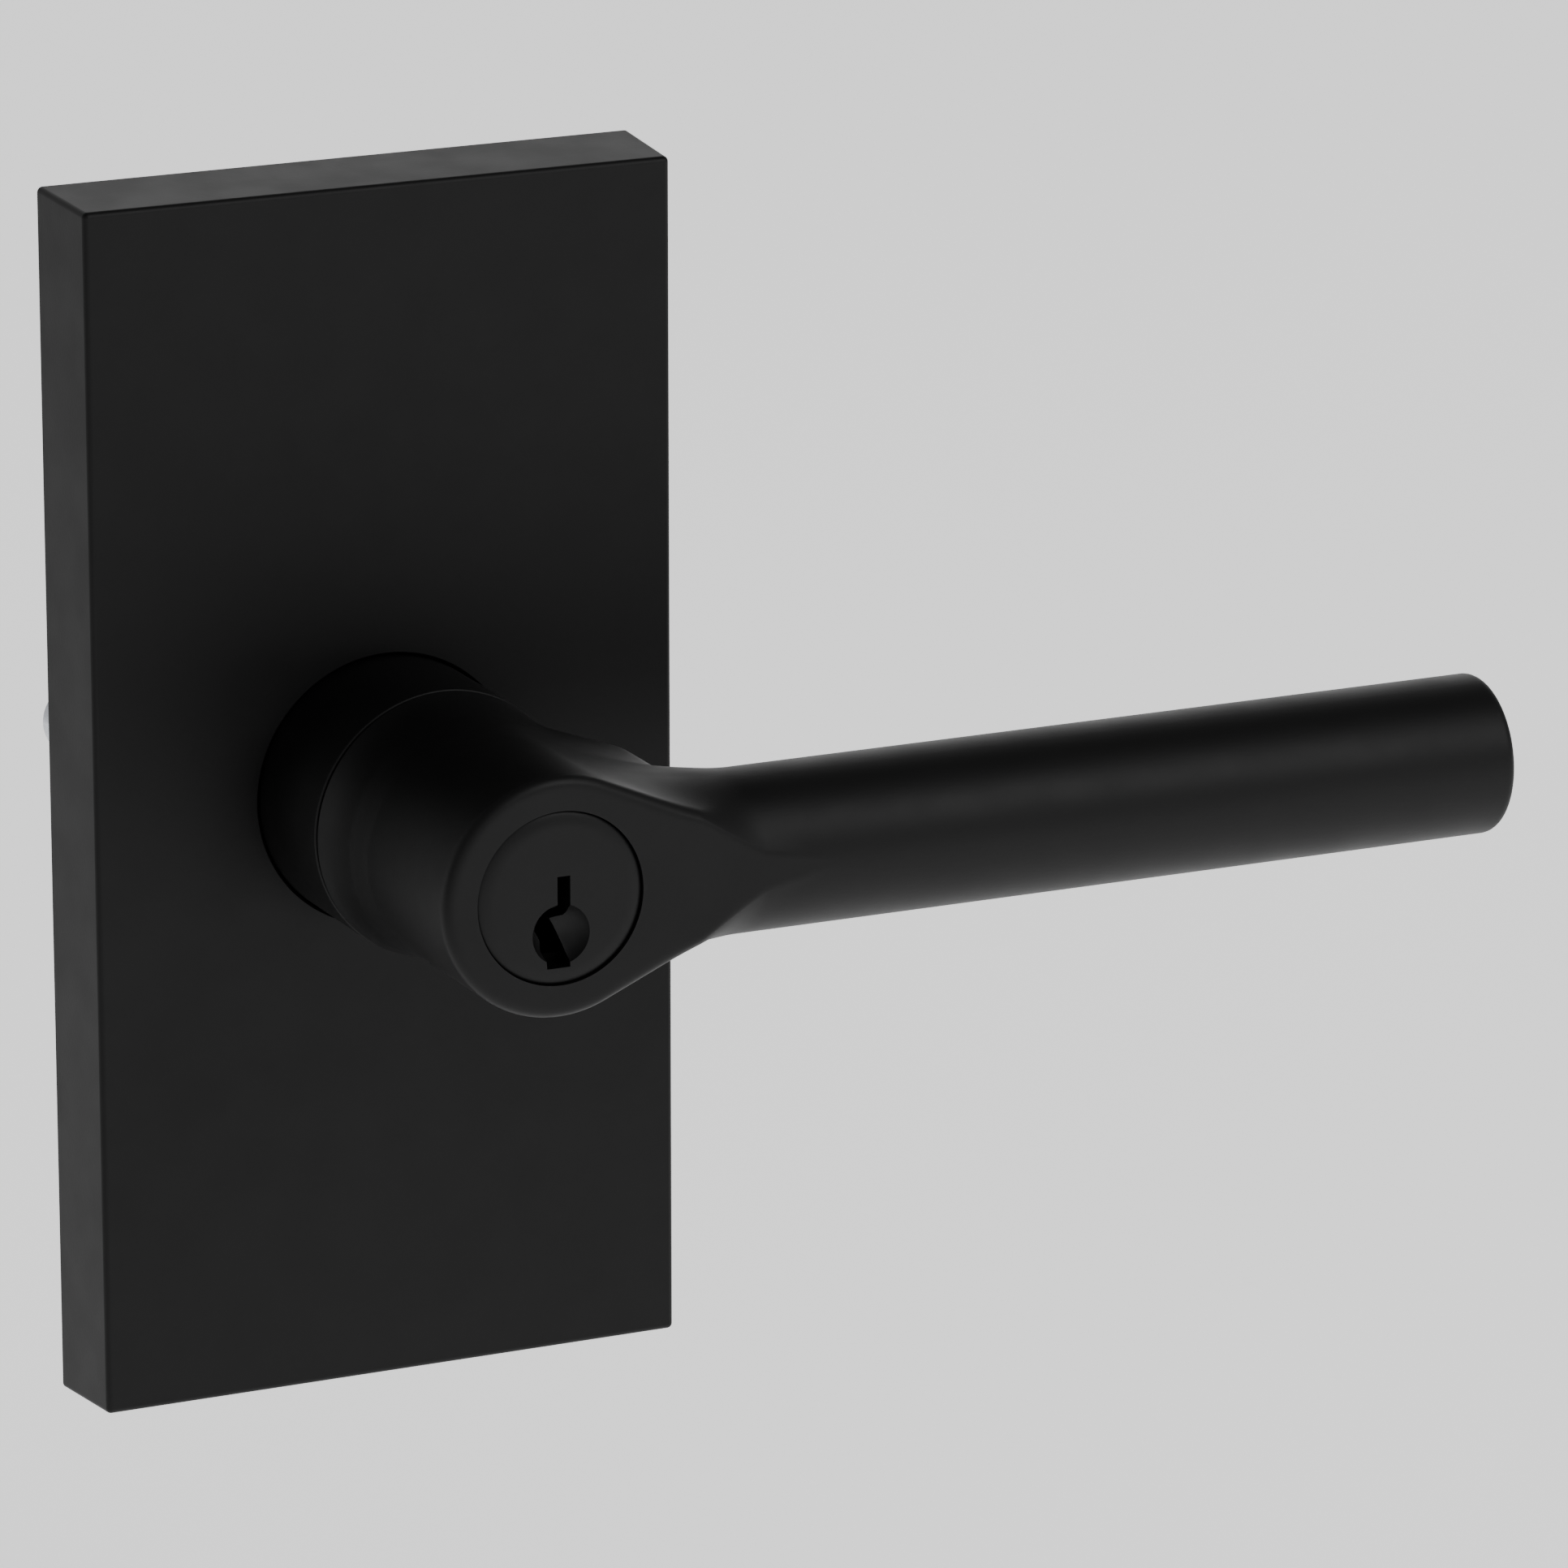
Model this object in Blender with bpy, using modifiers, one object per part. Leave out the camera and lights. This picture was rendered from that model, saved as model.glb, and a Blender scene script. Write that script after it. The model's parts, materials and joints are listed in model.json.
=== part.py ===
"""Keyed door lever with a rectangular rose: the outside half, as it comes apart on a bench.

Everything is modelled in the door frame: x to the lever's tip, y up the door and z straight out of it.
One empty at the origin turns that frame into the world's, where +Z is up and the door's face is Y = 0.
Sizes are in metres. A height "out" is the distance in front of the door's face, and negative inside it.
"""

from math import acos, asin, cos, degrees, hypot, pi, radians, sin, sqrt

import bmesh
import bpy
from mathutils import Matrix, Vector

# Fits
GAP = 0.0003  # between pieces that rest on each other
RUN = 0.00015  # between a turning piece and its bearing
STEPS = 36  # sides of a round piece
FINE_STEPS = 60  # sides of the neck, the collar and the barrel
BORE_STEPS = 64  # sides of the lever's bore

# Rose: the rectangular cover plate, open at the back
ROSE_WIDTH = 0.0643
ROSE_HEIGHT = 0.1270
ROSE_DEPTH = 0.01144
ROSE_DRAFT = 0.000585  # how far each side slopes out towards the door
ROSE_EDGE = 0.00058
ROSE_WALL = 0.0016

# Mounting plate and what holds it to the door
PLATE_MARGIN = 0.0021  # free space round the plate inside the rose
PLATE_THICKNESS = 0.0020
GASKET_THICKNESS = 0.0009
GASKET_MARGIN = 0.0004
POST_SPACING = 0.0380
POST_RADIUS = 0.0040
POST_NECK = 0.0026
POST_REACH = 0.0280  # into the door
POST_THREAD = 0.0017
POST_THREAD_DEPTH = 0.0200
CLIP_WIDTH = 0.0120
CLIP_THICKNESS = 0.0005
CLIP_LENGTH = 0.0090

# Collar: the fixed tube that the lever turns in
COLLAR_RADIUS = 0.01410
COLLAR_FRONT = 0.0259  # out
COLLAR_WALL = 0.0014
COLLAR_LIP = 0.0015
COLLAR_EDGE = 0.00015
FLANGE_WIDTH = 0.0033
FLANGE_THICKNESS = 0.0015
COLLAR_SCREWS = 3
SCREW_RADIUS = 0.0009
SCREW_HEAD = 0.0014
SCREW_HEAD_HEIGHT = 0.0010

# Lever
PROJECTION = 0.0555  # front face, out
NECK_RADIUS = 0.0125
NECK_EDGE = 0.0012
FLARE_RADIUS = 0.01405
FLARE_LENGTH = 0.0077
ARM_RADIUS = 0.00841
ARM_EDGE = 0.0009
LEVER_REACH = 0.1084  # spindle axis to the arm's end
WEB_NOSE_RADIUS = 0.0072  # the rounded wedge that carries the neck into the arm
WEB_NOSE_REACH = 0.0155
WEB_SETBACK = 0.0006
WEB_FOOT = 0.0018  # length over which the wedge draws in to the flare
SHANK_RADIUS = 0.0106
SHANK_LENGTH = 0.0069
BUSH_LENGTH = 0.0050
LEVER_TRAVEL = radians(50)

# Sleeve, return spring and stops
SLEEVE_RADIUS = 0.0087
SLEEVE_WALL = 0.0015
SLEEVE_FRONT = 0.0240  # out
SLEEVE_BACK = -0.0220
WASHER_THICKNESS = 0.0008
RING_THICKNESS = 0.0018
TAB_WIDTH = 0.0024
DRIVER_RING_OUT = 0.0105  # middle of the ring, out
STOP_CAM_OUT = -0.0035
STOP_CAM_RADIUS = 0.0100
STOP_LOBE_RADIUS = 0.0134
STOP_LOBE_HALF_WIDTH = 0.0026
STOP_PIN_RADIUS = 0.0015
STOP_PIN_CIRCLE = 0.0120
SPRING_WIRE = 0.0007
SPRING_TURNS = 2.5
SPRING_PITCH = 0.0016
CIRCLIP_OUT = -0.0061
CIRCLIP_THICKNESS = 0.0007
CIRCLIP_RADIUS = 0.0102
CIRCLIP_GROOVE = 0.0006  # depth

# Square spindle and tailpiece that reach the latch
SPINDLE_SIDE = 0.0076
SPINDLE_REACH = 0.0560  # into the door
SPINDLE_BORE = 0.0026
SPINDLE_HEAD_LENGTH = 0.0050
TAIL_WIDTH = 0.0042
TAIL_THICKNESS = 0.0016
TAIL_REACH = 0.0600  # into the door
TAIL_HEAD_RADIUS = 0.0046
TAIL_HEAD_THICKNESS = 0.0012
TAIL_SCREW_OFFSET = 0.0032
TAIL_SCREW_LENGTH = 0.0038

# Lock cylinder
FACE_RADIUS = 0.00888
FACE_GAP = 0.00017
FACE_THICKNESS = 0.0025
FACE_EDGE = 0.0008
PLUG_RADIUS = 0.00635
SHELL_BACK = 0.0292  # out
BIBLE_HALF_WIDTH = 0.0026
BIBLE_TOP = 0.0103
COVER_THICKNESS = 0.0005
PLUG_TAIL = 0.0024  # length of plug behind the shell
PLUG_GROOVE_DEPTH = 0.00075
PLUG_CLIP_THICKNESS = 0.0009
PLUG_CLIP_RADIUS = 0.0078
KEYWAY_TOP = 0.0024
KEYWAY_BOTTOM = -0.0071
KEYWAY_SLOT = 0.0015
KEYWAY_LOWER = 0.0026
KEYWAY_END = 0.0305  # out
DIMPLE_RADIUS = 0.0031
DIMPLE_DEPTH = 0.0012
DIMPLE_DROP = 0.0036
PIN_RADIUS = 0.0013
PIN_PITCH = 0.0039
FIRST_PIN = 0.0495  # out
PIN_DROPS = (0.0016, 0.0009, 0.0014, 0.0007, 0.0012)  # travel of each stack as the key leaves
CHAMBER_CLEARANCE = 0.0002
CHAMBER_FLOOR = 0.0010
DRIVER_LENGTH = 0.0020
PIN_SPRING_WIRE = 0.00014
PIN_SPRING_TURNS = 2.5

# Catch that keeps the lever on the sleeve
CATCH_RADIUS = 0.0015
CATCH_TIP = 0.0102  # from the spindle axis
CATCH_HEAD_RADIUS = 0.0021
CATCH_HEAD_HEIGHT = 0.0008
CATCH_TRAVEL = 0.0018
RELEASE_HOLE = 0.0012
CATCH_SPRING_THICKNESS = 0.0004
CATCH_SPRING_WIDTH = 0.0036

# What follows from the sizes above
PLATE_BACK = GASKET_THICKNESS + GAP
PLATE_FRONT = PLATE_BACK + PLATE_THICKNESS
FLANGE_BACK = PLATE_FRONT + GAP
FLANGE_FRONT = FLANGE_BACK + FLANGE_THICKNESS
COLLAR_BORE = COLLAR_RADIUS - COLLAR_WALL
NECK_BACK = COLLAR_FRONT + 0.0004
ARM_OUT = PROJECTION - ARM_RADIUS
SHANK_BACK = NECK_BACK - SHANK_LENGTH
BUSH_FRONT = COLLAR_FRONT - COLLAR_LIP - GAP
BUSH_BACK = BUSH_FRONT - BUSH_LENGTH
BUSH_RADIUS = COLLAR_BORE - GAP
WASHER_FRONT = BUSH_BACK - GAP
WASHER_BACK = WASHER_FRONT - WASHER_THICKNESS
SLEEVE_BORE = SLEEVE_RADIUS - SLEEVE_WALL
RING_BORE = SLEEVE_RADIUS + GAP
SPRING_RADIUS = (SLEEVE_RADIUS + COLLAR_BORE) / 2
LEVER_BORE = FACE_RADIUS + FACE_GAP
BARREL_RADIUS = LEVER_BORE - GAP
SHELL_BORE = PLUG_RADIUS + RUN
SHELL_FRONT = PROJECTION - FACE_THICKNESS - GAP
BIBLE_FRONT = SHELL_FRONT - 0.0012
COVER_BOTTOM = BIBLE_TOP + GAP
COVER_TOP = COVER_BOTTOM + COVER_THICKNESS
SLOT_TOP = COVER_TOP + GAP
PLUG_BACK = SHELL_BACK - PLUG_TAIL
CHAMBER_RADIUS = PIN_RADIUS + CHAMBER_CLEARANCE
KEY_PIN_TOP = sqrt(PLUG_RADIUS**2 - PIN_RADIUS**2) - 0.00006
DRIVER_BOTTOM = SHELL_BORE
CATCH_OUT = (BUSH_FRONT + BUSH_BACK) / 2
TAIL_HEAD_FRONT = PLUG_BACK - GAP
TAIL_HEAD_BACK = TAIL_HEAD_FRONT - TAIL_HEAD_THICKNESS
TAIL_SCREW_HEAD_FRONT = TAIL_HEAD_BACK - GAP


# ---------------------------------------------------------------- scene, materials and placing


def clear_scene():
    for obj in list(bpy.data.objects):
        bpy.data.objects.remove(obj, do_unlink=True)


def new_collection(name):
    collection = bpy.data.collections.new(name)
    bpy.context.scene.collection.children.link(collection)
    return collection


def new_empty(name, location=(0, 0, 0), rotation=(0, 0, 0), parent=None):
    empty = bpy.data.objects.new(name, None)
    empty.location = location
    empty.rotation_euler = rotation
    empty.parent = parent
    empty.empty_display_size = 0.02
    PARTS.objects.link(empty)
    return empty


FINISHES = {
    "satin_black": ((0.012, 0.012, 0.013), 0.42, 0.0),
    "zinc_steel": ((0.55, 0.56, 0.58), 0.38, 1.0),
    "spring_steel": ((0.35, 0.36, 0.38), 0.32, 1.0),
    "brass": ((0.72, 0.53, 0.24), 0.33, 1.0),
    "acetal": ((0.82, 0.81, 0.76), 0.45, 0.0),
    "foam": ((0.04, 0.04, 0.045), 0.95, 0.0),
}


def give_material(obj, finish):
    """Each piece has a material of its own, in one of the finishes."""
    colour, roughness, metallic = FINISHES[finish]
    material = bpy.data.materials.new(obj.name)
    material.use_nodes = True
    shader = material.node_tree.nodes["Principled BSDF"]
    shader.inputs["Base Color"].default_value = (*colour, 1)
    shader.inputs["Roughness"].default_value = roughness
    shader.inputs["Metallic"].default_value = metallic
    obj.data.materials.append(material)


def place(obj, parent, finish=None):
    """A piece has a finish. Without one, the object is a cutter or is joined to another piece."""
    if finish:
        PARTS.objects.link(obj)
        give_material(obj, finish)
    else:
        CUTTERS.objects.link(obj)
        obj.hide_render = True
        obj.display_type = "WIRE"
    obj.parent = parent
    return obj


def round_shading(mesh):
    mesh.shade_smooth()
    mesh.set_sharp_from_angle(angle=radians(35))


# ---------------------------------------------------------------- shapes


def arc(radius, start, end, count, centre=(0, 0)):
    """Points along an arc, from the start angle to the end angle in degrees, both ends included."""
    turns = [radians(start + (end - start) * i / (count - 1)) for i in range(count)]
    return [(centre[0] + radius * cos(t), centre[1] + radius * sin(t)) for t in turns]


def circle(radius, count=STEPS, centre=(0, 0)):
    return arc(radius, 0, 360 - 360 / count, count, centre)


def rectangle(width, height, centre=(0, 0)):
    x, y = centre
    return [
        (x + width / 2, y + height / 2),
        (x - width / 2, y + height / 2),
        (x - width / 2, y - height / 2),
        (x + width / 2, y - height / 2),
    ]


def turned(name, profile, parent, finish=None, steps=STEPS, rotation=(0, 0, 0), location=(0, 0, 0)):
    """A piece turned about its own z. The profile, (radius, height), runs down the outer side and up the bore."""
    mesh = bpy.data.meshes.new(name)
    on_axis = profile[0][0] == 0
    edges = [(i, i + 1) for i in range(len(profile) - 1)]
    if not on_axis:
        edges.append((len(profile) - 1, 0))
    mesh.from_pydata([(r, 0, z) for r, z in profile], edges, [])
    obj = bpy.data.objects.new(name, mesh)
    obj.rotation_euler = rotation
    obj.location = location
    screw = obj.modifiers.new("Turn", "SCREW")
    screw.axis = "Z"
    screw.angle = 2 * pi
    screw.steps = steps
    screw.render_steps = steps
    screw.use_merge_vertices = True
    screw.merge_threshold = 0.000001
    screw.use_smooth_shade = True
    return place(obj, parent, finish)


def tube(outer, inner, low, high):
    """The profile of a plain ring."""
    return [(outer, high), (outer, low), (inner, low), (inner, high)]


def mesh_of(curve_object):
    """The solid of a curve object as a mesh of its own, with its caps welded. The curve is removed."""
    bpy.context.scene.collection.objects.link(curve_object)
    bpy.context.view_layer.update()
    graph = bpy.context.evaluated_depsgraph_get()
    mesh = bpy.data.meshes.new_from_object(curve_object.evaluated_get(graph))
    bpy.data.objects.remove(curve_object)
    welded = bmesh.new()
    welded.from_mesh(mesh)
    bmesh.ops.remove_doubles(welded, verts=welded.verts, dist=0.000001)
    welded.to_mesh(mesh)
    welded.free()
    return mesh


def prism(name, outlines, low, high, parent, finish=None, rotation=(0, 0, 0)):
    """A flat outline, and any holes in it, carried from one height to another along z."""
    curve = bpy.data.curves.new(name, "CURVE")
    curve.dimensions = "2D"
    curve.fill_mode = "BOTH"
    curve.extrude = (high - low) / 2
    for outline in outlines:
        spline = curve.splines.new("POLY")
        spline.points.add(len(outline) - 1)
        spline.use_cyclic_u = True
        for point, (x, y) in zip(spline.points, outline):
            point.co = (x, y, 0, 1)
    mesh = mesh_of(bpy.data.objects.new(name + "_outline", curve))
    mesh.transform(Matrix.Translation((0, 0, (low + high) / 2)))
    round_shading(mesh)
    obj = bpy.data.objects.new(name, mesh)
    obj.rotation_euler = rotation
    return place(obj, parent, finish)


def wire(name, points, radius, parent, finish):
    """A round wire through the points, with closed ends."""
    curve = bpy.data.curves.new(name, "CURVE")
    curve.dimensions = "3D"
    curve.bevel_depth = radius
    curve.bevel_resolution = 2
    curve.use_fill_caps = True
    spline = curve.splines.new("POLY")
    spline.points.add(len(points) - 1)
    for point, place_at in zip(spline.points, points):
        point.co = (*place_at, 1)
    return place(bpy.data.objects.new(name, curve), parent, finish)


def block(name, low, high, parent, finish=None):
    """A box between two corners."""
    mesh = bpy.data.meshes.new(name)
    cube = bmesh.new()
    bmesh.ops.create_cube(cube, size=1)
    size = Vector(high) - Vector(low)
    middle = (Vector(high) + Vector(low)) / 2
    bmesh.ops.transform(cube, matrix=Matrix.Translation(middle) @ Matrix.Diagonal((*size, 1)), verts=cube.verts)
    cube.to_mesh(mesh)
    cube.free()
    return place(bpy.data.objects.new(name, mesh), parent, finish)


def rod(name, radius, start, end, parent, finish=None, sides=24):
    """A round rod between two points."""
    mesh = bpy.data.meshes.new(name)
    along = Vector(end) - Vector(start)
    turn = along.to_track_quat("Z", "Y").to_matrix().to_4x4()
    cylinder = bmesh.new()
    bmesh.ops.create_cone(
        cylinder,
        cap_ends=True,
        segments=sides,
        radius1=radius,
        radius2=radius,
        depth=along.length,
        matrix=Matrix.Translation((Vector(start) + Vector(end)) / 2) @ turn,
    )
    cylinder.to_mesh(mesh)
    cylinder.free()
    round_shading(mesh)
    return place(bpy.data.objects.new(name, mesh), parent, finish)


def combine(obj, other, operation):
    boolean = obj.modifiers.new(other.name, "BOOLEAN")
    boolean.operation = operation
    boolean.object = other
    boolean.solver = "EXACT"


def cut(obj, *cutters):
    for cutter in cutters:
        combine(obj, cutter, "DIFFERENCE")


def join(obj, *others):
    for other in others:
        combine(obj, other, "UNION")


# ---------------------------------------------------------------- rose and mounting


def make_rose_cover():
    """A tray with sloping sides and softened edges, open to the door, with a round hole for the collar."""
    mesh = bpy.data.meshes.new("rose_cover")
    tray = bmesh.new()
    bmesh.ops.create_cube(tray, size=1)
    for vert in tray.verts:
        spread = ROSE_DRAFT if vert.co.z < 0 else 0
        vert.co.x = (ROSE_WIDTH / 2 + spread) * (1 if vert.co.x > 0 else -1)
        vert.co.y = (ROSE_HEIGHT / 2 + spread) * (1 if vert.co.y > 0 else -1)
        vert.co.z = ROSE_DEPTH if vert.co.z > 0 else 0
    softened = [e for e in tray.edges if max(v.co.z for v in e.verts) > ROSE_DEPTH / 2]
    bmesh.ops.bevel(tray, geom=softened, offset=ROSE_EDGE, segments=4, profile=0.5, affect="EDGES")
    tray.to_mesh(mesh)
    tray.free()
    round_shading(mesh)
    rose = place(bpy.data.objects.new("rose_cover", mesh), DOOR, "satin_black")
    hollow = prism(
        "rose_hollow_cutter",
        [rectangle(ROSE_WIDTH - 2 * ROSE_WALL, ROSE_HEIGHT - 2 * ROSE_WALL)],
        -ROSE_DEPTH,
        ROSE_DEPTH - ROSE_WALL,
        DOOR,
    )
    hole = prism("rose_hole_cutter", [circle(COLLAR_RADIUS + GAP * 2 / 3, FINE_STEPS)], 0, 2 * ROSE_DEPTH, DOOR)
    cut(rose, hollow, hole)


def post_places():
    return {"left": (-POST_SPACING / 2, 0), "right": (POST_SPACING / 2, 0)}


def stop_pin_angle():
    """From straight up to each stop pin: the cam's travel, half its lobe and half the pin."""
    lobe = asin(STOP_LOBE_HALF_WIDTH / (STOP_PIN_CIRCLE - STOP_PIN_RADIUS))
    pin = asin((STOP_PIN_RADIUS + RUN) / STOP_PIN_CIRCLE)
    return LEVER_TRAVEL + lobe + pin


def stop_pin_places():
    angle = stop_pin_angle()
    x = STOP_PIN_CIRCLE * sin(angle)
    y = STOP_PIN_CIRCLE * cos(angle)
    return {"left": (-x, y), "right": (x, y)}


def collar_screw_places():
    circle_radius = COLLAR_RADIUS + FLANGE_WIDTH / 2
    return arc(circle_radius, 90, 90 + 360 * (COLLAR_SCREWS - 1) / COLLAR_SCREWS, COLLAR_SCREWS)


def make_mounting_plate():
    width = ROSE_WIDTH - 2 * (ROSE_WALL + PLATE_MARGIN)
    height = ROSE_HEIGHT - 2 * (ROSE_WALL + PLATE_MARGIN)
    holes = [circle(SLEEVE_RADIUS + GAP)]
    holes += [circle(POST_NECK + GAP, 24, at) for at in post_places().values()]
    holes += [circle(STOP_PIN_RADIUS - 2 * RUN, 16, at) for at in stop_pin_places().values()]
    holes += [circle(SCREW_RADIUS + GAP, 16, at) for at in collar_screw_places()]
    prism("mounting_plate", [rectangle(width, height), *holes], PLATE_BACK, PLATE_FRONT, DOOR, "zinc_steel")


def make_door_gasket():
    width = ROSE_WIDTH - 2 * (ROSE_WALL + GASKET_MARGIN)
    height = ROSE_HEIGHT - 2 * (ROSE_WALL + GASKET_MARGIN)
    middle = STOP_PIN_CIRCLE + STOP_PIN_RADIUS + GAP
    holes = [circle(middle)]
    holes += [circle(POST_RADIUS + GAP, 24, at) for at in post_places().values()]
    prism("door_gasket", [rectangle(width, height), *holes], 0, GASKET_THICKNESS, DOOR, "foam")


def make_posts():
    """Posts riveted into the plate, threaded from behind for the through bolts."""
    shoulder = PLATE_BACK - GAP
    for side, (x, y) in post_places().items():
        profile = [
            (0, PLATE_FRONT - GAP),
            (POST_NECK, PLATE_FRONT - GAP),
            (POST_NECK, shoulder),
            (POST_RADIUS, shoulder),
            (POST_RADIUS, -POST_REACH),
            (POST_THREAD, -POST_REACH),
            (POST_THREAD, POST_THREAD_DEPTH - POST_REACH),
            (0, POST_THREAD_DEPTH - POST_REACH),
        ]
        turned(f"post_{side}", profile, DOOR, "zinc_steel", steps=24, location=(x, y, 0))


def make_stop_pins():
    shoulder = PLATE_BACK - GAP
    neck = STOP_PIN_RADIUS - 2 * RUN - GAP
    end = STOP_CAM_OUT - RING_THICKNESS / 2 - GAP
    for side, (x, y) in stop_pin_places().items():
        profile = [(0, PLATE_FRONT - GAP), (neck, PLATE_FRONT - GAP), (neck, shoulder)]
        profile += [(STOP_PIN_RADIUS, shoulder), (STOP_PIN_RADIUS, end), (0, end)]
        turned(f"stop_pin_{side}", profile, DOOR, "zinc_steel", steps=16, location=(x, y, 0))


def make_rose_clips():
    """Bent leaves on the plate that press on the rose's end walls and hold it on."""
    wall = ROSE_HEIGHT / 2 - ROSE_WALL
    plate_edge = wall - PLATE_MARGIN
    foot = FLANGE_BACK + CLIP_THICKNESS / 2
    bump = wall - GAP - CLIP_THICKNESS
    top = ROSE_DEPTH - ROSE_WALL - 0.0008
    path = [
        (plate_edge - CLIP_LENGTH, foot),
        (plate_edge, foot),
        (bump, (foot + top) / 2),
        (plate_edge + PLATE_MARGIN / 3, top),
    ]
    for side, up in (("top", 1), ("bottom", -1)):
        mesh = bpy.data.meshes.new(f"rose_clip_{side}")
        verts = [(x, up * y, z) for y, z in path for x in (-CLIP_WIDTH / 2, CLIP_WIDTH / 2)]
        faces = [(2 * i, 2 * i + 1, 2 * i + 3, 2 * i + 2) for i in range(len(path) - 1)]
        mesh.from_pydata(verts, [], faces)
        clip = bpy.data.objects.new(mesh.name, mesh)
        solid = clip.modifiers.new("Leaf", "SOLIDIFY")
        solid.thickness = CLIP_THICKNESS
        solid.offset = 0
        solid.use_even_offset = True
        place(clip, DOOR, "spring_steel")


# ---------------------------------------------------------------- collar and bearings


def make_collar():
    """The tube that stands out of the rose. Its flange is screwed to the plate and its lip keeps the bush in."""
    flange = COLLAR_RADIUS + FLANGE_WIDTH
    lip = SHANK_RADIUS + 0.0004
    profile = [
        (COLLAR_RADIUS - COLLAR_EDGE, COLLAR_FRONT),
        (COLLAR_RADIUS, COLLAR_FRONT - COLLAR_EDGE),
        (COLLAR_RADIUS, FLANGE_FRONT),
        (flange, FLANGE_FRONT),
        (flange, FLANGE_BACK),
        (COLLAR_BORE, FLANGE_BACK),
        (COLLAR_BORE, COLLAR_FRONT - COLLAR_LIP),
        (lip, COLLAR_FRONT - COLLAR_LIP),
        (lip, COLLAR_FRONT),
    ]
    collar = turned("collar", profile, DOOR, "satin_black", steps=FINE_STEPS)
    for number, (x, y) in enumerate(collar_screw_places(), 1):
        hole = (x, y, FLANGE_BACK - GAP), (x, y, FLANGE_FRONT + GAP)
        cut(collar, rod(f"collar_screw_hole_{number}", SCREW_RADIUS + GAP, *hole, DOOR, sides=16))
    cut(collar, release_hole("collar_release_cutter"))


def make_collar_screws():
    head_back = FLANGE_FRONT + GAP
    profile = [
        (0, head_back + SCREW_HEAD_HEIGHT),
        (SCREW_HEAD, head_back + SCREW_HEAD_HEIGHT),
        (SCREW_HEAD, head_back),
        (SCREW_RADIUS, head_back),
        (SCREW_RADIUS, PLATE_BACK + GAP),
        (0, PLATE_BACK + GAP),
    ]
    for number, (x, y) in enumerate(collar_screw_places(), 1):
        turned(f"collar_screw_{number}", profile, DOOR, "zinc_steel", steps=16, location=(x, y, 0))


def release_hole(name):
    """The small hole under the neck through which the catch is pressed."""
    below = COLLAR_RADIUS + GAP
    return rod(name, RELEASE_HOLE, (0, -SHANK_RADIUS, CATCH_OUT), (0, -below, CATCH_OUT), DOOR, sides=16)


def make_bearing_bush():
    bush = turned("bearing_bush", tube(BUSH_RADIUS, SHANK_RADIUS + RUN, BUSH_BACK, BUSH_FRONT), DOOR, "acetal")
    cut(bush, release_hole("bush_release_cutter"))


def make_thrust_washer():
    """It backs the bush and holds the front leg of the return spring."""
    washer = turned("thrust_washer", tube(BUSH_RADIUS, RING_BORE, WASHER_BACK, WASHER_FRONT), DOOR, "zinc_steel")
    x, y = arc(SPRING_RADIUS, spring_end_angle(), 0, 2)[0]
    hole = (x, y, WASHER_BACK - GAP), (x, y, WASHER_FRONT + GAP)
    cut(washer, rod("washer_leg_cutter", SPRING_WIRE + GAP, *hole, DOOR, sides=16))


# ---------------------------------------------------------------- sleeve, spring and stops


def spring_start_angle():
    return 270


def spring_end_angle():
    return spring_start_angle() + 360 * SPRING_TURNS


def make_return_spring():
    """A torsion coil round the sleeve: its back leg sits in the driver ring and its front leg in the washer."""
    length = SPRING_TURNS * SPRING_PITCH
    free = WASHER_BACK - (DRIVER_RING_OUT + RING_THICKNESS / 2)
    start = DRIVER_RING_OUT + RING_THICKNESS / 2 + (free - length) / 2
    count = int(SPRING_TURNS * 16) + 1
    coil = []
    for i in range(count):
        angle = radians(spring_start_angle() + 360 * SPRING_TURNS * i / (count - 1))
        height = start + length * i / (count - 1)
        coil.append((SPRING_RADIUS * cos(angle), SPRING_RADIUS * sin(angle), height))
    back_leg = (*coil[0][:2], DRIVER_RING_OUT - RING_THICKNESS / 2 + GAP)
    front_leg = (*coil[-1][:2], WASHER_FRONT - GAP)
    wire("return_spring", [back_leg, *coil, front_leg], SPRING_WIRE, DOOR, "spring_steel")


def tabbed_bore():
    """The bore of a ring on the sleeve, with a tab at the top that drops into the sleeve's slot."""
    half = TAB_WIDTH / 2
    side = 90 - degrees(asin(half / RING_BORE))
    tab_depth = SLEEVE_RADIUS - SLEEVE_WALL / 2
    return [*arc(RING_BORE, side - 360 + 2 * (90 - side), side, STEPS), (half, tab_depth), (-half, tab_depth)]


def make_spring_driver():
    """The ring that winds the spring as the lever turns."""
    low, high = DRIVER_RING_OUT - RING_THICKNESS / 2, DRIVER_RING_OUT + RING_THICKNESS / 2
    outlines = [circle(BUSH_RADIUS), tabbed_bore()]
    ring = prism("spring_driver", outlines, low, high, LEVER_AXIS, "zinc_steel")
    x, y = arc(SPRING_RADIUS, spring_start_angle(), 0, 2)[0]
    hole = (x, y, low - GAP), (x, y, high + GAP)
    cut(ring, rod("driver_leg_cutter", SPRING_WIRE + GAP, *hole, LEVER_AXIS, sides=16))


def make_stop_cam():
    """The ring whose lobe meets the stop pins at each end of the lever's travel."""
    low, high = STOP_CAM_OUT - RING_THICKNESS / 2, STOP_CAM_OUT + RING_THICKNESS / 2
    half = STOP_LOBE_HALF_WIDTH
    foot = 90 - degrees(asin(half / STOP_CAM_RADIUS))
    tip = 90 - degrees(asin(half / STOP_LOBE_RADIUS))
    around = arc(STOP_CAM_RADIUS, 180 - foot, foot + 360, STEPS)
    outline = [*around, *arc(STOP_LOBE_RADIUS, tip, 180 - tip, 5)]
    prism("stop_cam", [outline, tabbed_bore()], low, high, LEVER_AXIS, "zinc_steel")


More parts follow.
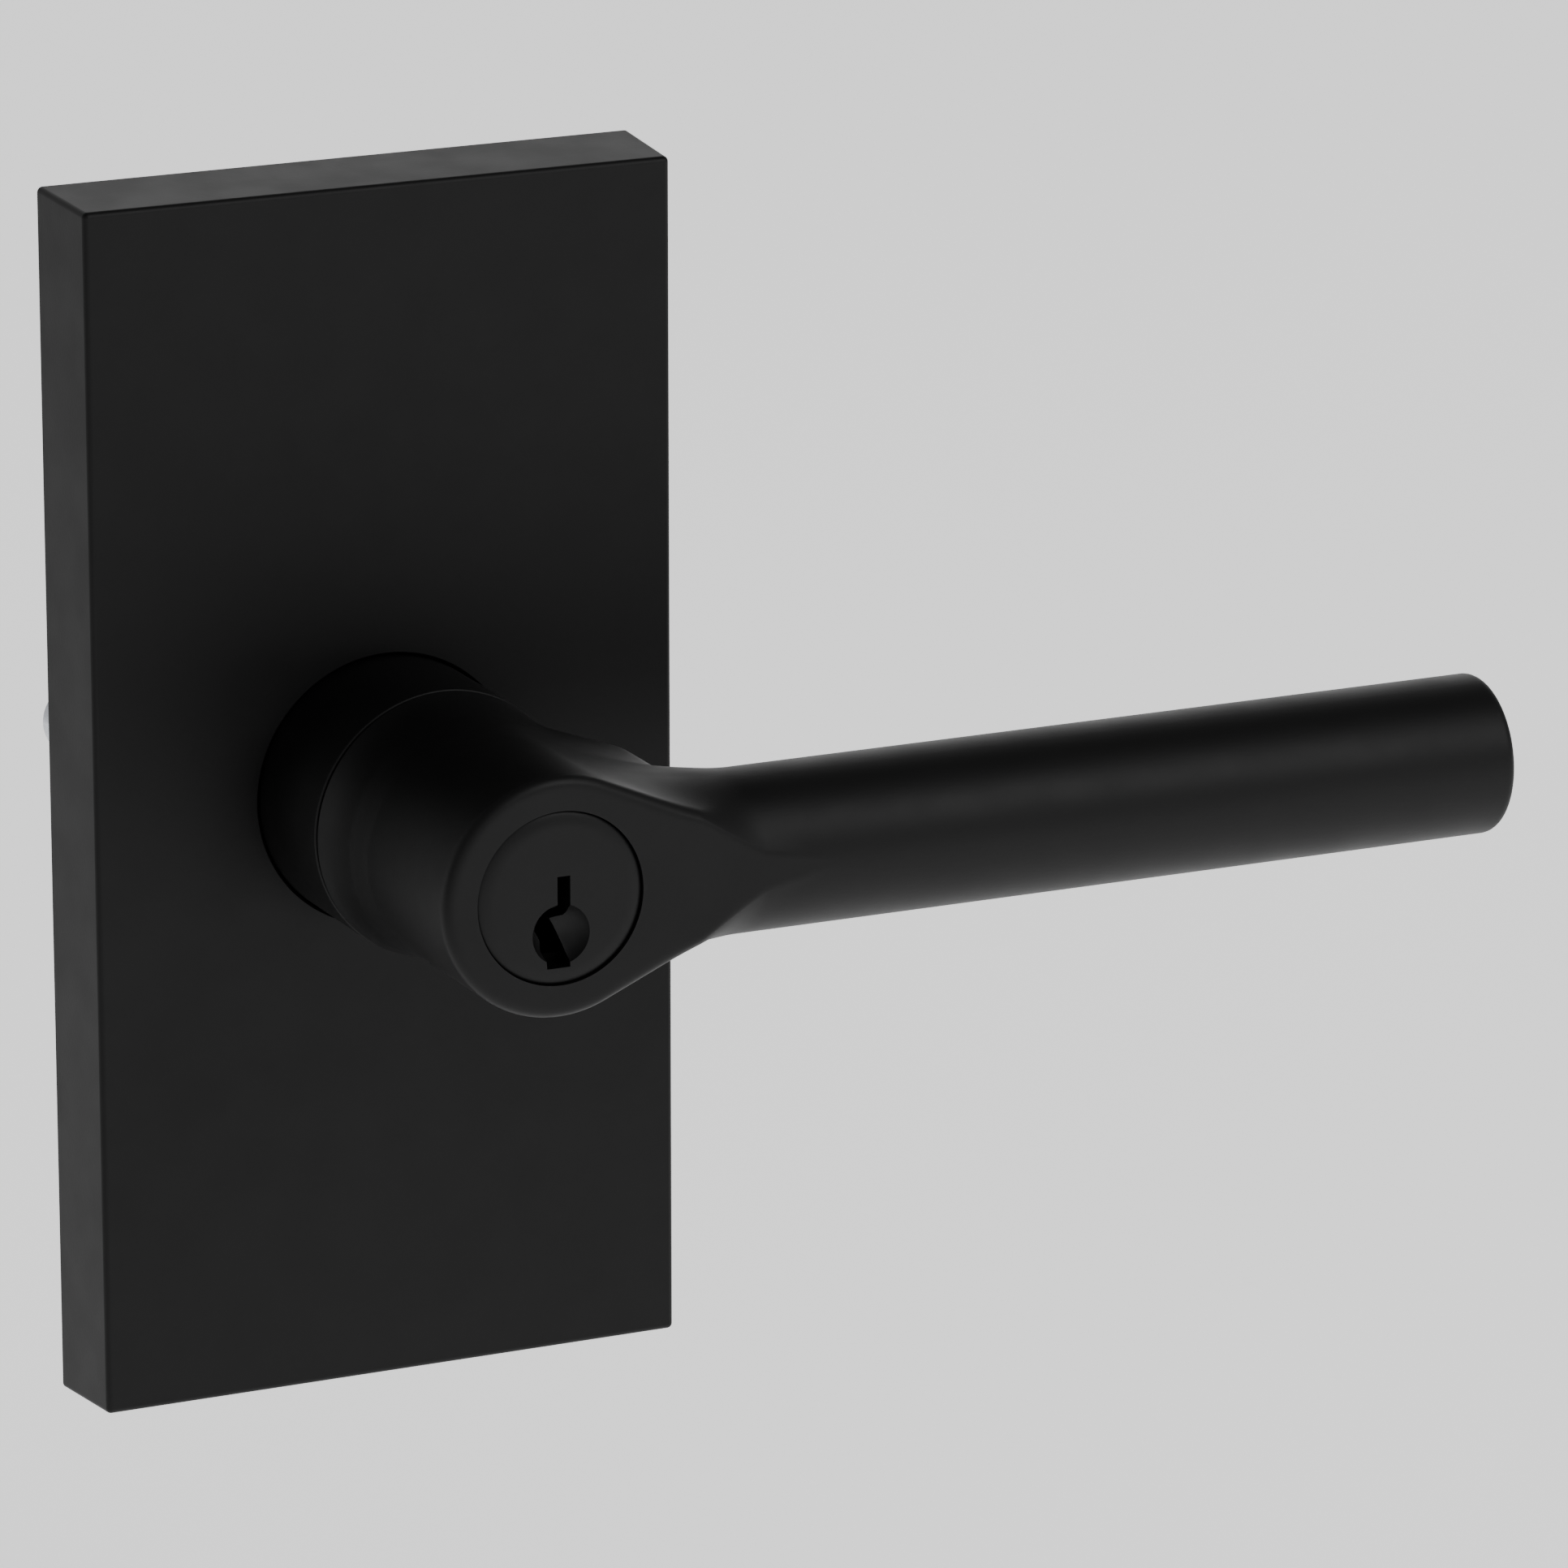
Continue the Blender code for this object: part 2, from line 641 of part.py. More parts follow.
def c_ring(outer, inner, opening, centre=(0, 0), middle=90):
    """A ring with a gap in it. The opening is an angle in degrees, centred on the middle angle."""
    start, end = middle + opening / 2, middle + 360 - opening / 2
    return [*arc(outer, start, end, STEPS, centre), *arc(inner, end, start, STEPS, centre)]


def make_sleeve():
    """The tube that carries the lever's turn through the rose to the spindle."""
    groove_half = CIRCLIP_THICKNESS / 2 + GAP
    groove = SLEEVE_RADIUS - CIRCLIP_GROOVE
    profile = [
        (SLEEVE_RADIUS, SLEEVE_FRONT),
        (SLEEVE_RADIUS, CIRCLIP_OUT + groove_half),
        (groove, CIRCLIP_OUT + groove_half),
        (groove, CIRCLIP_OUT - groove_half),
        (SLEEVE_RADIUS, CIRCLIP_OUT - groove_half),
        (SLEEVE_RADIUS, SLEEVE_BACK),
        (SLEEVE_BORE, SLEEVE_BACK),
        (SLEEVE_BORE, SLEEVE_FRONT),
    ]
    sleeve = turned("spindle_sleeve", profile, LEVER_AXIS, "zinc_steel")
    half = TAB_WIDTH / 2 + GAP
    for name, out in (("driver_slot_cutter", DRIVER_RING_OUT), ("cam_slot_cutter", STOP_CAM_OUT)):
        reach = RING_THICKNESS / 2 + GAP
        slot = (-half, SLEEVE_BORE / 2, out - reach), (half, SLEEVE_RADIUS + GAP, out + reach)
        cut(sleeve, block(name, *slot, LEVER_AXIS))
    cut(sleeve, catch_hole("sleeve_catch_cutter"))


def make_circlip():
    low, high = CIRCLIP_OUT - CIRCLIP_THICKNESS / 2, CIRCLIP_OUT + CIRCLIP_THICKNESS / 2
    ring = c_ring(CIRCLIP_RADIUS, SLEEVE_RADIUS - CIRCLIP_GROOVE + RUN, 60, middle=270)
    prism("sleeve_circlip", [ring], low, high, LEVER_AXIS, "spring_steel")


def make_drive_spindle():
    """The square spindle that turns the latch, swaged into the sleeve and bored for the tailpiece."""
    front = SLEEVE_BACK + SPINDLE_HEAD_LENGTH
    head = [(0, front), (SLEEVE_BORE - GAP, front), (SLEEVE_BORE - GAP, SLEEVE_BACK), (0, SLEEVE_BACK)]
    spindle = turned("drive_spindle", head, LEVER_AXIS, "zinc_steel")
    middle = (front + SLEEVE_BACK) / 2
    bar = prism("spindle_bar", [rectangle(SPINDLE_SIDE, SPINDLE_SIDE)], -SPINDLE_REACH, middle, LEVER_AXIS)
    join(spindle, bar)
    bore = (0, 0, -SPINDLE_REACH - GAP), (0, 0, front + GAP)
    cut(spindle, rod("spindle_bore_cutter", SPINDLE_BORE, *bore, LEVER_AXIS))


# ---------------------------------------------------------------- lever and catch


def neck_profile():
    """Front face, rounded rim, straight neck, concave flare to the collar, and the shank that runs in the bush."""
    rim = arc(NECK_EDGE, 90, 0, 5, (NECK_RADIUS - NECK_EDGE, PROJECTION - NECK_EDGE))
    spread = FLARE_RADIUS - NECK_RADIUS
    flare_radius = (spread**2 + FLARE_LENGTH**2) / (2 * spread)
    sweep = degrees(acos(1 - spread / flare_radius))
    centre = (NECK_RADIUS + flare_radius, NECK_BACK + FLARE_LENGTH)
    flare = arc(flare_radius, 180, 180 + sweep, 7, centre)
    return [(0, PROJECTION), *rim, *flare, (SHANK_RADIUS, NECK_BACK), (SHANK_RADIUS, SHANK_BACK), (0, SHANK_BACK)]


def web_outline():
    """The neck's circle and a smaller one towards the arm, with a straight flank on each side."""
    slope = degrees(asin((NECK_RADIUS - WEB_NOSE_RADIUS) / WEB_NOSE_REACH))
    inset = NECK_RADIUS - WEB_SETBACK / 3
    back = arc(inset, 90 - slope, 270 + slope, 25)
    nose = arc(WEB_NOSE_RADIUS, -90 + slope, 90 - slope, 17, (WEB_NOSE_REACH, 0))
    return [*back, *nose]


def make_web():
    """The wedge between neck and arm. Its back end draws in to the flare."""
    straight_from = NECK_BACK + WEB_SETBACK + WEB_FOOT
    web = prism("lever_web", [web_outline()], straight_from, PROJECTION - WEB_SETBACK, LEVER_AXIS)
    shape = bmesh.new()
    shape.from_mesh(web.data)
    back_faces = [f for f in shape.faces if f.calc_center_median().z < straight_from + GAP and abs(f.normal.z) > 0.9]
    grown = bmesh.ops.extrude_face_region(shape, geom=back_faces)["geom"]
    bmesh.ops.delete(shape, geom=back_faces, context="FACES")
    for vert in (v for v in grown if isinstance(v, bmesh.types.BMVert)):
        radius = hypot(vert.co.x, vert.co.y)
        share = min(1, (FLARE_RADIUS - WEB_SETBACK) / radius)
        vert.co = (vert.co.x * share, vert.co.y * share, vert.co.z - WEB_FOOT)
    shape.to_mesh(web.data)
    shape.free()
    return web


def make_lever():
    """One casting: neck, web and round arm, bored from behind for the lock cylinder."""
    lever = turned("lever", neck_profile(), LEVER_AXIS, "satin_black", steps=FINE_STEPS)
    web = make_web()
    length = LEVER_REACH - NECK_RADIUS
    end = arc(ARM_EDGE, 90, 0, 4, (ARM_RADIUS - ARM_EDGE, length - ARM_EDGE))
    arm_profile = [(0, length), *end, (ARM_RADIUS, NECK_EDGE - NECK_RADIUS), (0, NECK_EDGE - NECK_RADIUS)]
    along_x = (0, pi / 2, 0)
    arm = turned("lever_arm", arm_profile, LEVER_AXIS, None, STEPS, along_x, (NECK_RADIUS, 0, ARM_OUT))
    bore = (0, 0, SHANK_BACK - GAP), (0, 0, PROJECTION + GAP)
    bore_cutter = rod("lever_bore_cutter", LEVER_BORE, *bore, LEVER_AXIS, sides=BORE_STEPS)
    slot_half = BIBLE_HALF_WIDTH + GAP
    slot = (-slot_half, 0, SHANK_BACK - GAP), (slot_half, SLOT_TOP, BIBLE_FRONT + GAP)
    join(lever, web, arm)
    cut(lever, bore_cutter, block("lever_slot_cutter", *slot, LEVER_AXIS), catch_hole("lever_catch_cutter"))


def catch_hole(name):
    return rod(
        name,
        CATCH_RADIUS + GAP,
        (0, -SLEEVE_BORE / 2, CATCH_OUT),
        (0, -SHANK_RADIUS - GAP, CATCH_OUT),
        LEVER_AXIS,
        sides=16,
    )


def make_lever_catch():
    """A headed pin through the sleeve and the shank. Pressed in, it lets the lever off."""
    head_outer = SLEEVE_BORE - 0.0005
    head_inner = head_outer - CATCH_HEAD_HEIGHT
    profile = [
        (0, -head_inner),
        (CATCH_HEAD_RADIUS, -head_inner),
        (CATCH_HEAD_RADIUS, -head_outer),
        (CATCH_RADIUS, -head_outer),
        (CATCH_RADIUS, -CATCH_TIP + CATCH_RADIUS / 4),
        (CATCH_RADIUS * 0.75, -CATCH_TIP),
        (0, -CATCH_TIP),
    ]
    turned("lever_catch", profile, CATCH_AXIS, "zinc_steel", steps=16, rotation=(-pi / 2, 0, 0))


def make_catch_spring():
    """A C-shaped leaf inside the sleeve that pushes the catch out."""
    top = SLEEVE_BORE - GAP
    bottom = SLEEVE_BORE - 0.0005 - CATCH_HEAD_HEIGHT - GAP
    outer = (top + bottom) / 2
    ring = c_ring(outer, outer - CATCH_SPRING_THICKNESS, 80, (0, (top - bottom) / 2), middle=90)
    half = CATCH_SPRING_WIDTH / 2
    prism("catch_spring", [ring], CATCH_OUT - half, CATCH_OUT + half, LEVER_AXIS, "spring_steel")


# ---------------------------------------------------------------- lock cylinder


def pin_heights():
    return [FIRST_PIN - PIN_PITCH * i for i in range(len(PIN_DROPS))]


def make_cylinder_shell():
    """The barrel with the pin chambers standing up from it."""
    shell = turned(
        "cylinder_shell",
        [(0, SHELL_FRONT), (BARREL_RADIUS, SHELL_FRONT), (BARREL_RADIUS, SHELL_BACK), (0, SHELL_BACK)],
        LEVER_AXIS,
        "brass",
        steps=FINE_STEPS,
    )
    half = BIBLE_HALF_WIDTH
    bible = (-half, PLUG_RADIUS, SHELL_BACK + GAP), (half, BIBLE_TOP, BIBLE_FRONT)
    join(shell, block("shell_bible", *bible, LEVER_AXIS))
    bore = (0, 0, SHELL_BACK - GAP), (0, 0, SHELL_FRONT + GAP)
    cut(shell, rod("shell_bore_cutter", SHELL_BORE, *bore, LEVER_AXIS, sides=STEPS))
    for number, out in enumerate(pin_heights(), 1):
        chamber = (0, PLUG_RADIUS / 2, out), (0, BIBLE_TOP + GAP, out)
        cut(shell, rod(f"shell_chamber_{number}", CHAMBER_RADIUS, *chamber, LEVER_AXIS, sides=16))


def make_pin_cover():
    half = BIBLE_HALF_WIDTH
    block("pin_cover", (-half, COVER_BOTTOM, SHELL_BACK + GAP), (half, COVER_TOP, BIBLE_FRONT), LEVER_AXIS, "brass")


def make_cylinder_spacer():
    """A tube between the sleeve and the cylinder that keeps the cylinder forward."""
    profile = tube(BARREL_RADIUS, PLUG_CLIP_RADIUS + CHAMBER_CLEARANCE, SLEEVE_FRONT + GAP, SHELL_BACK - GAP)
    turned("cylinder_spacer", profile, LEVER_AXIS, "zinc_steel")


def keyway_outline():
    """A stepped slot: narrow above, wider and set to the left below, with one ward from the right."""
    slot, lower = KEYWAY_SLOT / 2, KEYWAY_LOWER / 2
    left = -lower - slot / 3
    bend = (KEYWAY_TOP + KEYWAY_BOTTOM) / 2
    ward = KEYWAY_SLOT / 2
    return [
        (slot, KEYWAY_TOP),
        (-slot, KEYWAY_TOP),
        (-slot, bend + ward),
        (left - slot, bend - ward),
        (left - slot, bend - 2.4 * ward),
        (-lower, KEYWAY_BOTTOM + 1.6 * ward),
        (-lower, KEYWAY_BOTTOM),
        (slot, KEYWAY_BOTTOM),
        (slot, KEYWAY_BOTTOM + 2.2 * ward),
        (-slot, bend - 2.0 * ward),
        (-slot, bend - ward),
        (slot, bend),
    ]


def make_plug():
    """The turning plug, with the round face that closes the lever's front and the keyway through it."""
    face_rim = arc(FACE_EDGE, 90, 0, 4, (FACE_RADIUS - FACE_EDGE, PROJECTION - FACE_EDGE))
    groove = PLUG_RADIUS - PLUG_GROOVE_DEPTH
    clip_half = PLUG_CLIP_THICKNESS / 2 + GAP
    clip_middle = SHELL_BACK - clip_half
    profile = [
        (0, PROJECTION),
        *face_rim,
        (FACE_RADIUS, PROJECTION - FACE_THICKNESS),
        (PLUG_RADIUS, PROJECTION - FACE_THICKNESS),
        (PLUG_RADIUS, clip_middle + clip_half),
        (groove, clip_middle + clip_half),
        (groove, clip_middle - clip_half),
        (PLUG_RADIUS, clip_middle - clip_half),
        (PLUG_RADIUS, PLUG_BACK),
        (0, PLUG_BACK),
    ]
    plug = turned("plug", profile, PLUG_AXIS, "satin_black", steps=STEPS)
    keyway = prism("keyway_cutter", [keyway_outline()], KEYWAY_END, PROJECTION + GAP, PLUG_AXIS)
    ball = (DIMPLE_RADIUS**2 + DIMPLE_DEPTH**2) / (2 * DIMPLE_DEPTH)
    centre = PROJECTION - DIMPLE_DEPTH + ball
    ball_profile = [(0, centre + ball), *arc(ball, 75, -75, 11, (0, centre)), (0, centre - ball)]
    dimple = turned("dimple_cutter", ball_profile, PLUG_AXIS, steps=24, location=(0, -DIMPLE_DROP, 0))
    cut(plug, keyway, dimple)
    for number, out in enumerate(pin_heights(), 1):
        chamber = (0, CHAMBER_FLOOR, out), (0, PLUG_RADIUS + GAP, out)
        cut(plug, rod(f"plug_chamber_{number}", CHAMBER_RADIUS, *chamber, PLUG_AXIS, sides=16))
    for side in (-1, 1):
        x = side * TAIL_SCREW_OFFSET
        hole = (x, 0, PLUG_BACK - GAP), (x, 0, TAIL_SCREW_HEAD_FRONT + TAIL_SCREW_LENGTH + GAP)
        cut(plug, rod(f"plug_screw_hole_{side + 1}", SCREW_RADIUS + GAP, *hole, PLUG_AXIS, sides=16))


def make_plug_clip():
    middle = SHELL_BACK - PLUG_CLIP_THICKNESS / 2 - GAP
    ring = c_ring(PLUG_CLIP_RADIUS, PLUG_RADIUS - PLUG_GROOVE_DEPTH + RUN, 70, middle=270)
    half = PLUG_CLIP_THICKNESS / 2
    prism("plug_clip", [ring], middle - half, middle + half, PLUG_AXIS, "spring_steel")


def make_tailpiece():
    """The blade that carries the key's turn to the latch, with a round head on the plug's back."""
    head = [
        (0, TAIL_HEAD_FRONT),
        (TAIL_HEAD_RADIUS, TAIL_HEAD_FRONT),
        (TAIL_HEAD_RADIUS, TAIL_HEAD_BACK),
        (0, TAIL_HEAD_BACK),
    ]
    tail = turned("tailpiece", head, PLUG_AXIS, "zinc_steel", steps=32)
    blade = rectangle(TAIL_THICKNESS, TAIL_WIDTH)
    middle = (TAIL_HEAD_FRONT + TAIL_HEAD_BACK) / 2
    join(tail, prism("tail_blade", [blade], -TAIL_REACH, middle, PLUG_AXIS))
    for side in (-1, 1):
        x = side * TAIL_SCREW_OFFSET
        hole = (x, 0, TAIL_HEAD_BACK - GAP), (x, 0, TAIL_HEAD_FRONT + GAP)
        cut(tail, rod(f"tail_screw_hole_{side + 1}", SCREW_RADIUS + GAP, *hole, PLUG_AXIS, sides=16))


def make_tail_screws():
    front = TAIL_SCREW_HEAD_FRONT
    profile = [
        (0, front + TAIL_SCREW_LENGTH),
        (SCREW_RADIUS, front + TAIL_SCREW_LENGTH),
        (SCREW_RADIUS, front),
        (SCREW_HEAD, front),
        (SCREW_HEAD, front - SCREW_HEAD_HEIGHT),
        (0, front - SCREW_HEAD_HEIGHT),
    ]
    for side, x in (("left", -TAIL_SCREW_OFFSET), ("right", TAIL_SCREW_OFFSET)):
        turned(f"tail_screw_{side}", profile, PLUG_AXIS, "zinc_steel", steps=16, location=(x, 0, 0))


def make_pin_stacks():
    """Key pins in the plug and driver pins in the shell, meeting at the plug's surface as with the key in."""
    upright = (-pi / 2, 0, 0)  # turns a piece's z up the door
    for number, (out, drop) in enumerate(zip(pin_heights(), PIN_DROPS), 1):
        key_pin_bottom = CHAMBER_FLOOR + RUN + drop
        tip = PIN_RADIUS / 2
        key_pin = [
            (0, KEY_PIN_TOP),
            (PIN_RADIUS, KEY_PIN_TOP),
            (PIN_RADIUS, key_pin_bottom + tip),
            (PIN_RADIUS - tip, key_pin_bottom),
            (0, key_pin_bottom),
        ]
        driver_top = DRIVER_BOTTOM + DRIVER_LENGTH
        driver = [(0, driver_top), (PIN_RADIUS, driver_top), (PIN_RADIUS, DRIVER_BOTTOM), (0, DRIVER_BOTTOM)]
        stack_axis = new_empty(f"pin_stack_{number}", (0, 0, out), upright, PLUG_AXIS)
        turned(f"key_pin_{number}", key_pin, stack_axis, "brass", steps=16)
        chamber_axis = new_empty(f"chamber_{number}", (0, 0, out), upright, LEVER_AXIS)
        turned(f"driver_pin_{number}", driver, chamber_axis, "zinc_steel", steps=16)
        make_driver_spring(number, out, driver_top)


def make_driver_spring(number, out, driver_top):
    low = driver_top + PIN_SPRING_WIRE + GAP / 2
    high = BIBLE_TOP - PIN_SPRING_WIRE
    radius = PIN_RADIUS - PIN_SPRING_WIRE
    count = int(PIN_SPRING_TURNS * 8) + 1
    points = []
    for i in range(count):
        angle = 2 * pi * PIN_SPRING_TURNS * i / (count - 1)
        height = low + (high - low) * i / (count - 1)
        points.append((radius * cos(angle), height, out + radius * sin(angle)))
    wire(f"driver_spring_{number}", points, PIN_SPRING_WIRE, LEVER_AXIS, "spring_steel")


# ---------------------------------------------------------------- the whole lockset

clear_scene()
PARTS = new_collection("keyed_lever_lockset")
CUTTERS = new_collection("cutters")
DOOR = new_empty("door_face", rotation=(pi / 2, 0, 0))
LEVER_AXIS = new_empty("lever_axis", parent=DOOR)
PLUG_AXIS = new_empty("plug_axis", parent=LEVER_AXIS)
CATCH_AXIS = new_empty("catch_axis", location=(0, 0, CATCH_OUT), parent=LEVER_AXIS)

make_rose_cover()
make_mounting_plate()
make_door_gasket()
make_posts()
make_stop_pins()
make_rose_clips()
make_collar()
make_collar_screws()
make_bearing_bush()
make_thrust_washer()
make_return_spring()
make_spring_driver()
make_stop_cam()
make_sleeve()
make_circlip()
make_drive_spindle()
make_lever()
make_lever_catch()
make_catch_spring()
make_cylinder_shell()
make_pin_cover()
make_cylinder_spacer()
make_plug()
make_plug_clip()
make_tailpiece()
make_tail_screws()
make_pin_stacks()
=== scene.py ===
"""Looks for the keyed lever lockset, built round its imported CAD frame.

The row frame has +X to the lever's tip, +Y into the door and +Z up. "Out" is the distance in front of the
door's face, so out = -Y. Sizes are in metres. The driving ones are read from the CAD nodes' boxes.
"""

import json
from math import cos, pi, radians, sin, sqrt

import bmesh
import bpy
import numpy as np
from mathutils import Matrix, Vector


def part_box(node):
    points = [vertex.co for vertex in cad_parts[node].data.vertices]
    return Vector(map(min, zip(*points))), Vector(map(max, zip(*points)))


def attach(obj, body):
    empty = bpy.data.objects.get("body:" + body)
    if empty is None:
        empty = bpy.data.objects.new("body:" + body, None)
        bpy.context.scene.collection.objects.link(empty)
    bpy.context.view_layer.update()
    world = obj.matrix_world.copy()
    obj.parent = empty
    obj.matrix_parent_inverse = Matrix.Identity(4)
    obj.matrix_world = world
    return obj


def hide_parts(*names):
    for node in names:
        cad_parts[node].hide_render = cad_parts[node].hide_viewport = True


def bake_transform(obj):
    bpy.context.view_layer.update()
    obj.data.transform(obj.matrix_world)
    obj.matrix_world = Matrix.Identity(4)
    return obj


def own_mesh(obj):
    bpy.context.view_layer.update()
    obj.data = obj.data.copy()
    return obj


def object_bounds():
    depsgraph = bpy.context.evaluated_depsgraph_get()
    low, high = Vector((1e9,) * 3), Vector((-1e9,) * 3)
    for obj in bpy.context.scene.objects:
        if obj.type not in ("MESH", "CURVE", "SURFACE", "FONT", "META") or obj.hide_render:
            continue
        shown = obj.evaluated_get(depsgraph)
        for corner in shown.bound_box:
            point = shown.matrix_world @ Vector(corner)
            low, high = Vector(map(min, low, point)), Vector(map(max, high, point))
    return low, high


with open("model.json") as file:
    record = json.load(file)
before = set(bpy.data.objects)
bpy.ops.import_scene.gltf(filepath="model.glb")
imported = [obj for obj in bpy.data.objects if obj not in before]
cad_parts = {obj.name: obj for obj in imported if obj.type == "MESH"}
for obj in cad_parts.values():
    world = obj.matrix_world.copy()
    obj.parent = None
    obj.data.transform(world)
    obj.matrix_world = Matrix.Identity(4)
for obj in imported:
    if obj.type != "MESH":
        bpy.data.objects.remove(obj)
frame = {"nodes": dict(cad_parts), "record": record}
CAD_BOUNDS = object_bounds()

# Driving sizes, from the frame
ROSE_LOW, ROSE_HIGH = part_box("rose_cover")
LEVER_LOW, LEVER_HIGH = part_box("lever")
COLLAR_LOW, COLLAR_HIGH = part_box("collar")
PLUG_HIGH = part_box("plug")[1]

PROJECTION = -LEVER_LOW.y
LEVER_REACH = LEVER_HIGH.x
SHANK_BACK = -LEVER_HIGH.y
FLARE_RADIUS = -LEVER_LOW.x
COLLAR_FRONT = -COLLAR_LOW.y
COLLAR_BACK = -COLLAR_HIGH.y
FLANGE_RADIUS = COLLAR_HIGH.z
ROSE_DEPTH = -ROSE_LOW.y
FACE_RADIUS = PLUG_HIGH.x
PLUG_BACK = -PLUG_HIGH.y

# Sizes that a box doesn't give
ROSE_DRAFT = 0.000585  # how far each side leans in, from the door to the front
ROSE_EDGE = 0.00058
ROSE_WALL = 0.0016
ROSE_HOLE_GAP = 0.0002
COLLAR_RADIUS = 0.01410
COLLAR_WALL = 0.0014
COLLAR_LIP = 0.0015
FLANGE_FRONT = 0.0050
NECK_RADIUS = FLARE_RADIUS - 0.00155
NECK_EDGE = 0.0012
NECK_BACK = COLLAR_FRONT + 0.0004
FLARE_LENGTH = 0.0077
SHANK_RADIUS = 0.0106
ARM_RADIUS = 0.00841
ARM_EDGE = 0.0009
ARM_OUT = PROJECTION - ARM_RADIUS
LEVER_BORE = FACE_RADIUS + 0.00010
PLUG_RADIUS = 0.00635
FACE_THICKNESS = 0.0025
FACE_CROWN = 0.0017  # width of the gently rounded rim of the plug's face
FACE_DROP = 0.00032  # how far that rim falls back
DIMPLE_RADIUS = 0.0031
DIMPLE_DEPTH = 0.0017
DIMPLE_DROP = 0.0037  # from the face's middle down to the dimple's
CATCH_OUT = 0.0217
CATCH_HOLE = 0.0018
RELEASE_HOLE = 0.0012
SCREW_HOLE = 0.0012
PIN_CHAMBER = 0.0015
KEYWAY_BACK = 0.0305
POST_BORE_DEPTH = 0.02
THREAD_PITCH = 0.0007

ROUND = 192  # sides of a large round piece
SMALL_ROUND = 32
PAST = 0.001  # how far a cutter stands out of what it cuts


# ---------------------------------------------------------------- meshes


def new_object(name, mesh, sharp_angle=None):
    obj = bpy.data.objects.new(name, mesh)
    bpy.context.scene.collection.objects.link(obj)
    if sharp_angle:
        shade(obj, sharp_angle)
    return obj


def rod_profile(radius, low, high):
    """For lathe(): a plain cylinder."""
    return [(0, high), (radius, high), (radius, low), (0, low)]


def mesh_of(shape, name):
    """The bmesh as a mesh. It frees the bmesh."""
    mesh = bpy.data.meshes.new(name)
    shape.to_mesh(mesh)
    shape.free()
    return mesh


def along_y(mesh):
    """Turns a mesh made round z into one round the spindle, with its z pointing out of the door."""
    mesh.transform(Matrix.Rotation(pi / 2, 4, "X"))
    return mesh


def arc(radius, start, end, count, centre=(0, 0)):
    turns = [radians(start + (end - start) * i / (count - 1)) for i in range(count)]
    return [(centre[0] + radius * cos(t), centre[1] + radius * sin(t)) for t in turns]


def lathe(name, profile, sides=ROUND):
    """A closed turned mesh round z. The profile, (radius, height), runs down outside and up the bore."""
    shape = bmesh.new()
    on_axis = profile[0][0] == 0
    rings = []
    for radius, height in profile:
        if radius == 0:
            rings.append([shape.verts.new((0, 0, height))])
            continue
        turns = [2 * pi * i / sides for i in range(sides)]
        rings.append([shape.verts.new((radius * cos(t), radius * sin(t), height)) for t in turns])
    pairs = list(zip(rings, rings[1:])) + ([] if on_axis else [(rings[-1], rings[0])])
    for upper, lower in pairs:
        for i in range(sides):
            j = (i + 1) % sides
            corners = [upper[i % len(upper)], lower[i % len(lower)]]
            corners += [lower[j % len(lower)], upper[j % len(upper)]]
            shape.faces.new(list(dict.fromkeys(corners)))
    bmesh.ops.recalc_face_normals(shape, faces=shape.faces)
    return mesh_of(shape, name)


def prism(name, outline, low, high):
    """A flat outline in x and y carried from one z to another."""
    shape = bmesh.new()
    bottom = [shape.verts.new((x, y, low)) for x, y in outline]
    top = [shape.verts.new((x, y, high)) for x, y in outline]
    shape.faces.new(bottom)
    shape.faces.new(top)
    for i in range(len(outline)):
        j = (i + 1) % len(outline)
        shape.faces.new((bottom[i], bottom[j], top[j], top[i]))
    bmesh.ops.recalc_face_normals(shape, faces=shape.faces)
    return mesh_of(shape, name)


def cut(obj, meshes):
    """Cuts each mesh from the object, and applies the cuts."""
    cutters = [new_object(mesh.name, mesh) for mesh in meshes]
    for cutter in cutters:
        boolean = obj.modifiers.new(cutter.name, "BOOLEAN")
        boolean.operation = "DIFFERENCE"
        boolean.object = cutter
        boolean.solver = "EXACT"
    apply_modifiers(obj)
    for cutter in cutters:
        bpy.data.objects.remove(cutter)


def apply_modifiers(obj):
    bpy.context.view_layer.update()
    graph = bpy.context.evaluated_depsgraph_get()
    mesh = bpy.data.meshes.new_from_object(obj.evaluated_get(graph))
    mesh.name = obj.name
    obj.modifiers.clear()
    obj.data = mesh


def soften(obj, width):
    """Rounds the sharp edges of a piece, and keeps its flat faces flat."""
    bevel = obj.modifiers.new("Edges", "BEVEL")
    bevel.width = width
    bevel.segments = 2
    bevel.limit_method = "ANGLE"
    bevel.angle_limit = radians(38)
    flatten_shading(obj)


def shade(obj, sharp_angle):
    """Smooth shading, but for edges sharper than that angle."""
    obj.data.shade_smooth()
    obj.data.set_sharp_from_angle(angle=radians(sharp_angle))


def flatten_shading(obj):
    weighted = obj.modifiers.new("Normals", "WEIGHTED_NORMAL")
    weighted.keep_sharp = True
    weighted.weight = 90


# ---------------------------------------------------------------- lever casting


MM = 1000  # the lever's field is worked out in millimetres, and so are the sizes below

# The wedge between neck and arm
WEB_NOSE = 7.2  # behind, it ends in a round nose
WEB_NOSE_REACH = 15.5
WEB_TIP = 0.6  # in front, it narrows to the arm's foremost line
WEB_TIP_REACH = 29.0
WEB_LIFT = 0.4  # from the neck's back to the wedge's
WEB_FOOT = 1.6
WEB_MELT = 15.5  # from here along x the flat's edges widen, until the arm takes them in
WEB_MELT_LENGTH = 7
WEB_MELT_EDGE = 5.5
WEB_MELT_POWER = 1.3

